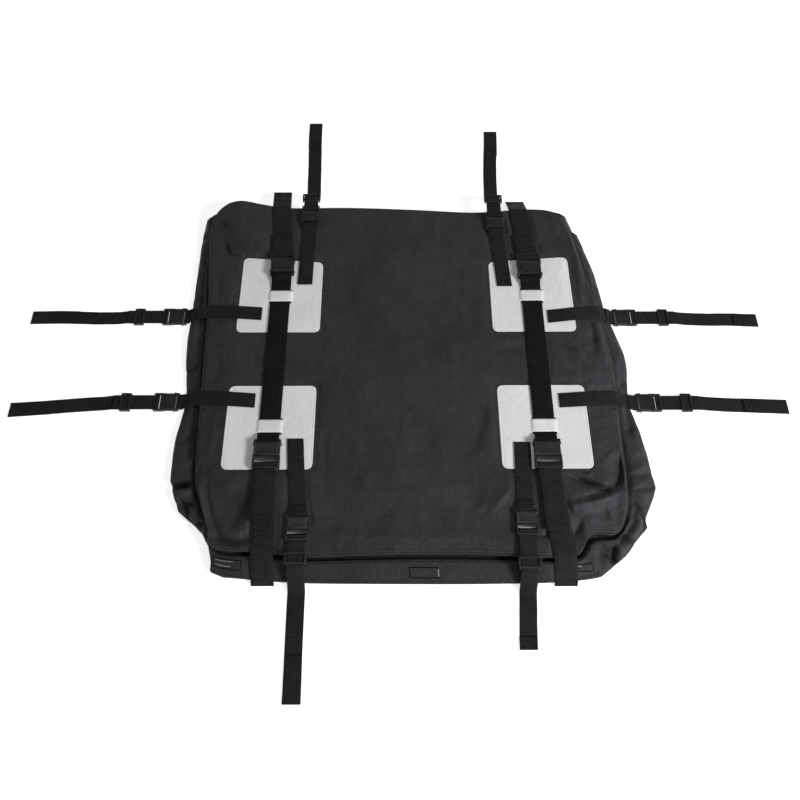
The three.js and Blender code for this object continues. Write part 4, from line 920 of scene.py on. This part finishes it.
def closure(middle, half, share_top, share_low, tilt, bars):
    def tab_point(across, share, lift):
        place = np.interp(across, flap_edge[:, 0], FLAP_PLACES)
        return flap_point(place, share + tilt * (across - middle), lift)[0]

    def tab_patch(columns, rows, ends, share_ends, lift):
        """Part of the tab: ends from -1 to 1 along it, and shares of its height from its low side."""
        u, share = np.meshgrid(middle + half * np.linspace(*ends, columns),
                               share_low + (share_top - share_low) * np.linspace(*share_ends, rows))
        return tab_point(u, share, lift)

    tab = Shape()
    upper, lower = (tab_patch(TAB_COLUMNS, TAB_ROWS, (-1, 1), (0, 1), lift) for lift in (TAB_FRONT, TAB_BACK))
    rounded = np.full((TAB_ROWS, TAB_COLUMNS), 1.0)
    rounded[[0, -1]] = rounded[:, [0, -1]] = 0.35
    surface = lower + (upper - lower) * rounded[..., None]
    ring = ring_of(TAB_COLUMNS - 1, TAB_ROWS - 1)[::-1]
    tab.add_grid(surface)
    tab.add_grid(lower, flip=True)
    tab.add_grid(np.array([lower[ring], surface[ring]]), wrap=True, flip=True)
    wide, high = TAB_SEAM / half, TAB_SEAM_SHARE / (share_low - share_top)
    for ends, share_ends in (((-1, 1), (0, high)), ((-1, 1), (1 - high, 1)), ((-1, -1 + wide), (0, 1)),
                             ((1 - wide, 1), (0, 1))):
        tab.add_grid(tab_patch(9, 5, ends, share_ends, TAB_THREAD), slot=1)
    for left_end, right_end, share, half_height in bars:
        reach = np.linspace(middle + left_end * half, middle + right_end * half, 14)
        bar = np.array([tab_point(reach, share + k * half_height, lift) for k, lift in
                        ((-1, TAB_FRONT), (-0.8, BAR_FRONT), (0.8, BAR_FRONT), (1, TAB_FRONT))])
        tab.add_grid(bar, flip=True, slot=2)
    return tab


for side, values in CLOSURES.items():
    piece = closure(*values).make(f"closure_tape_{side}", [FLAP_FABRIC, BLACK_THREAD, PALE_BAR])
    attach(piece, "bag")


# Patches

def rounded_outline(width, length, slant, radius, steps=13, cells=56):
    """Each side of a four-cornered outline round the origin as the same number of points, with rounded
    corners. Its two far corners lie further out by the values of the slant."""
    corners = np.array([(-width, -length), (width, -length), (width, length), (-width, length)]) / 2
    corners[[3, 2], 1] += slant
    arcs = []
    for k, corner in enumerate(corners):
        enter, leave = (corner + unit(corners[(k + step) % 4] - corner) * radius for step in (-1, 1))
        q = np.linspace(0, 1, steps)[:, None]
        arcs.append((1 - q) ** 2 * enter + 2 * q * (1 - q) * corner + q ** 2 * leave)
    sides = []
    for k in range(4):
        half = steps // 2
        line = np.vstack([arcs[k][half:], arcs[(k + 1) % 4][:half + 1]])
        length_along = lengths_along(line)
        spots = np.linspace(0, length_along[-1], cells + 1)[:-1]
        sides.append(np.stack([np.interp(spots, length_along, line[:, c]) for c in (0, 1)], 1))
    return np.vstack(sides)


# The bound rim of a patch: distance in from its edge and lift off the bag, in millimetres
RIM = ((0.0, 0.35), (0.7, 0.95), (2.2, 1.1), (4.0, 1.05), (5.0, 0.62), (6.2, 0.85))
PATCH_LIFT = 0.95
PATCH_UNDER_STRAP = 0.15 * MM

# The band's rise beside the strap: distance out from the window's edge in millimetres, and share of the rise
BAND_FOOT = ((7, -0.3), (4, 0.0), (1.5, 0.28), (-0.8, 0.66), (-3.2, 0.94), (-6, 1.0))
BAND_THICKNESS = 1.1 * MM
BAND_FLAT = 9 * MM
BAND_GROUND = 5 * MM


def add_panel(patch, centre, slant):
    """The patch's cloth from its window out to its bound rim, laid on the bag."""
    outer = rounded_outline(PATCH_WIDTH, PATCH_LENGTH, slant, PATCH_CORNER)
    inner = rounded_outline(WINDOW_WIDTH, WINDOW_LENGTH, (0, 0), 2 * MM)
    reach = np.linalg.norm(outer - inner, axis=1)[:, None]
    rings = [(inner, -0.5), (outer, -0.5)]
    rings += [(outer + (inner - outer) * (inset * MM / reach), lift) for inset, lift in RIM]
    rings += [(outer + (inner - outer) * share, PATCH_LIFT) for share in np.linspace(0.1, 0.985, 22)]
    rings.append((inner, 0.6))
    points = []
    for flat, lift in rings:
        world = flat + centre
        points.append(np.column_stack([world, top_of(skin, *world.T) + lift * MM]))
    points = np.array(points)
    roof = lowest_near(bottom_of(over_tree, points[..., 0], points[..., 1]), 1)
    points[..., 2] = np.minimum(points[..., 2], roof - PATCH_UNDER_STRAP)
    patch.add_grid(points, wrap=True)
    first = np.arange(len(outer))
    last, following = first + (len(points) - 1) * len(outer), np.roll(first, -1)
    patch.close(np.stack([last, np.roll(last, -1), following, first], 1))


def add_band(patch, centre, crest):
    """The band that passes over the wide strap, with its feet sunk into the patch."""
    foot = WINDOW_WIDTH / 2
    out, heights = np.array(BAND_FOOT).T
    around = -foot - out * MM
    xs = np.concatenate([around, np.linspace(-foot + BAND_FLAT, foot - BAND_FLAT, 9), -around[::-1]])
    rise = np.concatenate([heights, np.ones(9), heights[::-1]])
    ys = np.linspace(-BAND_LENGTH / 2, BAND_LENGTH / 2, 11)
    beside = centre[0] + np.array([-1, 1]) * (foot + BAND_GROUND)
    ground = float(np.mean(top_of(skin, beside, [centre[1], centre[1]]))) + PATCH_LIFT * MM
    droop = 0.25 * MM * (np.abs(ys[None]) / (BAND_LENGTH / 2)) ** 6
    band_top = ground + rise[:, None] * (crest - ground) - droop
    rounded = np.array([0.3, *[0] * 9, 0.3]) * MM
    gx, gy = np.meshgrid(xs + centre[0], ys + centre[1], indexing="ij")
    top_grid = np.stack([gx, gy, band_top - rounded], -1)
    low_grid = np.stack([gx, gy, band_top - BAND_THICKNESS + rounded], -1)
    loop = np.concatenate([top_grid, low_grid[:, ::-1]], 1)
    count, size = loop.shape[:2]
    patch.add_grid(loop, wrap=True)
    patch.close_ends(patch.count - count * size, size, count)


for name in CORNER_NAMES:
    sign_y = 1 if name.startswith("back") else -1
    sign_x = -1 if name.endswith("left") else 1
    centre = np.array([sign_x * PATCH_X, sign_y * PATCH_Y])
    skew = PATCH_SKEW if sign_y > 0 else 0
    patch = Shape()
    add_panel(patch, centre, (skew * (sign_x < 0), skew * (sign_x > 0)))
    add_band(patch, centre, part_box(f"patch_{name}")[1].z - 0.1 * MM)
    piece = patch.make(f"reinforcement_{name}", [PATCH_CLOTH])
    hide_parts(f"patch_{name}")
    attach(piece, "bag")


# Webbing

def side_outline(name, width, across):
    """The outline of a strap seen from its side, from the CAD node: points in order, on its far side."""
    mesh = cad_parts[name].data
    work = bmesh.new()
    work.from_mesh(mesh)
    bmesh.ops.remove_doubles(work, verts=work.verts, dist=2e-6)
    points = np.array([v.co for v in work.verts])
    shifted = points.copy()
    shifted[:, across] -= width
    distance = np.linalg.norm(points[None] - shifted[:, None], axis=2)
    far = set(np.nonzero(distance.min(1) < 3e-5)[0].tolist())
    links = {}
    for face in work.faces:
        ends = [v.index for v in face.verts if v.index in far]
        if len(ends) == 2 and len(face.verts) == 3:
            links.setdefault(ends[0], set()).add(ends[1])
            links.setdefault(ends[1], set()).add(ends[0])
    work.free()
    start = min(links)
    order = [start]
    following = min(links[start])
    while following != start:
        order.append(following)
        following = next(k for k in links[following] if k != order[-2])
    return points[order]


def centre_line(name, width, thickness, across):
    """The middle line of a strap and the middle of its width along it."""
    outline = side_outline(name, width, across)
    along = 1 - across
    flat = outline[:, [along, 2]]
    area = np.sum(flat[:, 0] * np.roll(flat[:, 1], -1) - np.roll(flat[:, 0], -1) * flat[:, 1])
    if area < 0:
        outline, flat = outline[::-1], flat[::-1]
    forward = np.roll(flat, -1, 0) - flat
    size = np.linalg.norm(forward, axis=1)
    heading = forward / size[:, None]
    turn = np.cross(np.roll(heading, 1, 0), heading)
    ends = [k for k in range(len(flat))
            if size[k] < thickness * 1.6 and turn[k] > 0.8 and turn[(k + 1) % len(flat)] > 0.8]
    if len(ends) != 2:
        raise RuntimeError(f"{name}: {len(ends)} ends in {len(flat)} points")
    first, second = ends
    chain = np.arange(first + 1, second + 1)
    line, lane = flat[chain], outline[chain, across] - width / 2
    step = unit(np.diff(line, axis=0))
    before, after = np.vstack([step[:1], step]), np.vstack([step, step[-1:]])
    middle = unit(before + after)
    lean = np.maximum(np.sum(middle * before, 1), 0.5)
    inward = np.stack([-middle[:, 1], middle[:, 0]], 1) * (thickness / 2 / lean)[:, None]
    return np.column_stack([line + inward, lane])


def round_corners(line, reach):
    made = [line[:1]]
    share = np.linspace(0, 1, 6)[:, None]
    for a, b, c in zip(line, line[1:], line[2:]):
        enter, leave = (b + (k - b) * min(reach, 0.45 * size) / size
                        for k, size in ((a, np.linalg.norm(a - b)), (c, np.linalg.norm(c - b))))
        made.append((1 - share) ** 2 * enter + 2 * share * (1 - share) * b + share ** 2 * leave)
    made.append(line[-1:])
    return np.vstack(made)


def refine(line, spacing):
    """Adds points where the line has steps longer than the spacing."""
    made = [line[0]]
    for a, b in zip(line, line[1:]):
        steps = max(1, int(math.ceil(np.linalg.norm(b - a) / spacing)))
        made.extend(a + (b - a) * k / steps for k in range(1, steps + 1))
    return np.array(made)


# From here out a wide tail at the back is too stiff to hang down over the bag's edge.
STIFF_FROM = 0.478

# A tail rests on the floor from this far beyond its tri-glide. There it waves up and sways to the side.
REST_BEYOND = 20 * MM
WAVE_HEIGHT, SWAY = 2.2 * MM, 1.6 * MM
FLOOR_LIFT = 0.22 * MM

# A free end lifts off the layer below it.
END_LIFT = 5.2 * MM

# A strap's section: shares of its half width and half thickness, and how far its edge is drawn in, in
# millimetres.
SECTION = (
    (-1, -.25, 0), (-1, .25, 0), (-1, .8, .35), (-1, 1, 1.3), (-.55, 1, 0), (-.2, 1.03, 0), (.2, 1.03, 0),
    (.55, 1, 0), (1, 1, 1.3), (1, .8, .35), (1, .25, 0), (1, -.25, 0), (1, -.8, .35), (1, -1, 1.3),
    (.55, -1, 0), (0, -1, 0), (-.55, -1, 0), (-1, -1, 1.3), (-1, -.8, .35),
)


def wave_along(line, size, seed):
    return lattice_noise(line[:, 0], np.zeros(len(line)), size, seed)


class Strap:
    """Webbing along a CAD strap's middle line, with rounded selvedges and a little wave. A line's points are
    the distance along, the height and the place across."""

    def __init__(self, node, width, thickness, across, rest_from=None, free_shift=None, fall=None, seed=0):
        self.node, self.width, self.thickness, self.across = node, width, thickness, across
        line = centre_line(node, width, thickness, across)
        self.line = refine(round_corners(line, 9 * MM), 4 * MM)
        if rest_from is not None:
            self.lie(rest_from, seed)
        if free_shift is not None:
            self.lift_end(free_shift)
        if fall is not None:
            self.hold_up(fall)
        step = unit(np.gradient(self.line[:, :2], axis=0))
        self.normal = np.stack([-step[:, 1], step[:, 0]], 1)
        self.length = lengths_along(self.line[:, :2])
        self.shape = Shape()
        self.shell(seed)

    def lie(self, rest_from, seed):
        """Lays the far part on the floor with a little wave and sway."""
        line = self.line
        window = smooth((np.abs(line[:, 0]) - rest_from) / 0.07)
        lift, sway = wave_along(line, 0.055, seed + 71), wave_along(line, 0.13, seed + 73)
        line[:, 1] += window * np.maximum(lift, -0.1) * WAVE_HEIGHT + window * FLOOR_LIFT
        line[:, 2] += window * sway * SWAY

    def lift_end(self, shift):
        """Puts the free end a little off the layer below it and to one side."""
        line = self.line
        from_end = lengths_along(line[:, :2])
        if abs(line[0, 0]) > abs(line[-1, 0]):
            from_end = from_end[-1] - from_end
        line[:, 1] += END_LIFT * smooth(1 - from_end / 0.05)
        line[:, 2] += shift * smooth(1 - from_end / 0.09)

    def hold_up(self, fall):
        """Lets the part beyond STIFF_FROM sink no faster than the given slope."""
        line = self.line
        out = np.abs(line[:, 0])
        order = np.argsort(out)
        held = np.interp(STIFF_FROM, out[order], line[order, 1])
        held_line = np.maximum(line[:, 1], held - fall * (out - STIFF_FROM))
        line[:, 1] = np.where(out > STIFF_FROM, held_line, line[:, 1])

    def spot(self, index, lane, lift):
        """World points at indices along the line, at an offset across it and a height off its middle."""
        flat = self.line[index, :2] + self.normal[index] * np.asarray(lift)[..., None]
        world = np.zeros((*flat.shape[:-1], 3))
        world[..., 1 - self.across] = flat[..., 0]
        world[..., self.across] = self.line[index, 2] + lane
        world[..., 2] = flat[..., 1]
        return world

    def shell(self, seed):
        w, t = self.width / 2, self.thickness / 2
        index = np.arange(len(self.line))
        rings, cloth = [], []
        frays = lattice_noise(self.line[:, 0], np.full(len(index), 0.3), 0.02, seed + 79) * 0.15 * MM
        for lane_share, lift_share, inset in SECTION:
            lane = lane_share * w - math.copysign(inset * MM * 0.5, lane_share) * (inset > 0)
            lane = lane + math.copysign(1, lane_share) * frays * (abs(lane_share) == 1)
            rings.append(self.spot(index, lane, np.full(len(index), lift_share * t)))
            cloth.append(np.column_stack([self.length, np.full(len(index), lane_share * w)]))
        rings, cloth = (np.array(made).transpose(1, 0, 2) for made in (rings, cloth))
        flip = self.across == 0
        self.shape.add_grid(rings, wrap=True, flip=flip, cloth=cloth)
        self.shape.close_ends(0, len(SECTION), len(index), flip)

    def row(self, start, end, lane_start, lane_end):
        """A row of stitches between two lengths along the strap, on the side that faces up."""
        places = np.linspace(start, end, max(3, int(abs(end - start) / (2 * MM)) + 2))
        lanes = np.linspace(lane_start, lane_end, len(places))
        index = np.clip(np.searchsorted(self.length, places), 1, len(self.length) - 1)
        share = ((places - self.length[index - 1]) / (self.length[index] - self.length[index - 1]))[:, None]
        side = np.sign(self.normal[index, 1])
        lift = side * (self.thickness / 2 + 0.08 * MM)
        a, b = self.spot(index - 1, lanes, lift), self.spot(index, lanes, lift)
        path = a + (b - a) * np.clip(share, 0, 1)
        ups = np.zeros_like(path)
        ups[:, 1 - self.across] = self.normal[index, 0] * side
        ups[:, 2] = self.normal[index, 1] * side
        add_stitches(self.shape, path, ups, 1, pitch=3.3, length=2.6, width=0.8, height=0.4)

    def box(self, start, end, cross=True):
        """A sewn box, with a cross in it where the strap carries load."""
        r = self.width / 2 - 4 * MM
        rows = [(start, end, -r, -r), (start, end, r, r), (start, start, -r, r), (end, end, -r, r)]
        if cross:
            rows += [(start, end, -r, r), (start, end, r, -r)]
        for row in rows:
            self.row(*row)

    def box_at_end(self, near, far, cross=True):
        """A sewn box between two distances from the far end of the line."""
        self.box(self.length[-1] - far, self.length[-1] - near, cross)

    def make(self, name, body):
        cloth = DEEP_WEBBING if self.node.startswith("wide_strap") else WEBBING
        piece = self.shape.make(name, [cloth, BLACK_THREAD])
        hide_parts(self.node)
        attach(piece, body)


# Sewn boxes: the distances of their near and far side from the strap's end
STRAP_BOX = (2.5 * MM, 11 * MM)
WIDE_END_BOX = (3 * MM, 16 * MM)
ANCHOR_BOX = (3.5 * MM, 38 * MM)
LOOP_BOX = (3 * MM, 15 * MM)
TAIL_BOX = (3 * MM, 24 * MM)

# How far to the side the free ends of the wide tails lie, and how steeply the back one falls
WIDE_TAILS = {"left": (-2.5 * MM, 0.28), "right": (-6 * MM, 0.56)}
for number, (side, (shift, fall)) in enumerate(WIDE_TAILS.items()):
    strap = Strap(f"wide_strap_{side}", WIDE_WIDTH, WIDE_THICKNESS, 0, seed=number)
    strap.box(*STRAP_BOX, cross=False)
    strap.box_at_end(*STRAP_BOX, cross=False)
    strap.make(f"wide_webbing_{side}", "bag")
    for end in ("back", "front"):
        name = f"wide_tail_{end}_{side}"
        tail = Strap(name, WIDE_WIDTH, WIDE_THICKNESS, 0, free_shift=shift,
                     fall=fall if end == "back" else None, seed=number + 5)
        tail.box(*WIDE_END_BOX, cross=False)
        tail.box_at_end(*WIDE_END_BOX, cross=False)
        tail.make(f"wide_webbing_{end}_{side}_outer", name)
for number, name in enumerate(NARROW_NAMES):
    across = 0 if name.startswith(("front", "back")) else 1
    anchor = Strap(f"anchor_{name}", NARROW_WIDTH, NARROW_THICKNESS, across, seed=number + 11)
    anchor.box(*ANCHOR_BOX)
    anchor.box_at_end(*LOOP_BOX, cross=False)
    anchor.make(f"anchor_webbing_{name}", "bag")
    far = max(abs(corner[1 - across]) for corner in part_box(f"tri_glide_{name}"))
    tail = Strap(f"tail_{name}", NARROW_WIDTH, NARROW_THICKNESS, across, rest_from=far + REST_BEYOND,
                 seed=number + 31)
    outer_last = abs(tail.line[-1, 0]) > abs(tail.line[0, 0])
    if outer_last:
        tail.box_at_end(*TAIL_BOX)
    else:
        tail.box(*TAIL_BOX)
    tail.make(f"tail_webbing_{name}", f"tail_{name}")


# Mouldings keep their CAD meshes, with their edges softened.

SOFT_EDGE = 0.45 * MM
for name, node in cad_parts.items():
    if "buckle" not in name and "glide" not in name:
        continue
    node.data.materials.clear()
    node.data.materials.append(PLASTIC)
    weld = node.modifiers.new("weld", "WELD")
    weld.merge_threshold = 1e-6
    bevel = node.modifiers.new("soft edges", "BEVEL")
    bevel.width = SOFT_EDGE
    bevel.segments = 2
    bevel.limit_method = "ANGLE"
    bevel.angle_limit = math.radians(28)
    bevel.harden_normals = True
    node.data.polygons.foreach_set("use_smooth", np.ones(len(node.data.polygons), bool))


# Floor, lights and camera

FLOOR_REACH = 9.0
FLOOR_GLOW = 0.66
WORLD_LIGHT = 0.22


def floor_material():
    """A plain white floor. It glows where the camera sees it, so that it comes out white."""
    n = Nodes("studio_floor")
    path = n.add("LightPath").outputs
    seen = n.math("MAXIMUM", path["Is Camera Ray"], path["Is Glossy Ray"])
    return n.set(Base_Color=(0.9, 0.9, 0.9), Roughness=0.9, Specular_IOR_Level=0.1, Emission_Color=(1, 1, 1),
                 Emission_Strength=n.math("MULTIPLY", seen, FLOOR_GLOW))


floor_mesh = bpy.data.meshes.new("studio_floor")
corners = [(x * FLOOR_REACH, y * FLOOR_REACH, 0) for x, y in ((-1, -1), (1, -1), (1, 1), (-1, 1))]
floor_mesh.from_pydata(corners, [], [(0, 1, 2, 3)])
floor = bpy.data.objects.new("studio_floor", floor_mesh)
bpy.context.scene.collection.objects.link(floor)
floor_mesh.materials.append(floor_material())

world = bpy.data.worlds.new("studio")
bpy.context.scene.world = world
world.use_nodes = True
background = next(n for n in world.node_tree.nodes if n.type == "BACKGROUND")
background.inputs["Color"].default_value = (1, 1, 1, 1)
background.inputs["Strength"].default_value = WORLD_LIGHT


def soft_light(name, place, target, width, depth, power):
    data = bpy.data.lights.new(name, "AREA")
    data.shape = "RECTANGLE"
    data.size, data.size_y, data.energy = width, depth, power
    lamp = bpy.data.objects.new(name, data)
    lamp.location = place
    lamp.rotation_euler = (Vector(target) - Vector(place)).to_track_quat("-Z", "Y").to_euler()
    bpy.context.scene.collection.objects.link(lamp)


soft_light("overhead", (0.15, -0.1, 3.2), (0, -0.05, 0), 1.4, 1.0, 10)
soft_light("key", (3.75, -2.5, 2.7), (0.05, -0.1, 0), 1.5, 1.1, 256)

camera_data = bpy.data.cameras.new("camera")
camera_data.sensor_width = 36
camera_data.lens = 35
camera_data.clip_start, camera_data.clip_end = 0.05, 50
camera = bpy.data.objects.new("camera", camera_data)
bpy.context.scene.collection.objects.link(camera)
bpy.context.scene.camera = camera
LOOK_AT = Vector((-0.0159, -0.0909, 0))
ELEVATION = math.radians(62.0)
DISTANCE = 1.892
ROLL = math.radians(-0.176)
offset = Vector((0, -math.cos(ELEVATION), math.sin(ELEVATION))) * DISTANCE
camera.location = LOOK_AT + offset
turned = (-offset).to_track_quat("-Z", "Y").to_matrix().to_4x4()
camera.rotation_euler = (turned @ Matrix.Rotation(ROLL, 4, "Z")).to_euler()

bpy.context.scene.view_settings.view_transform = "Standard"
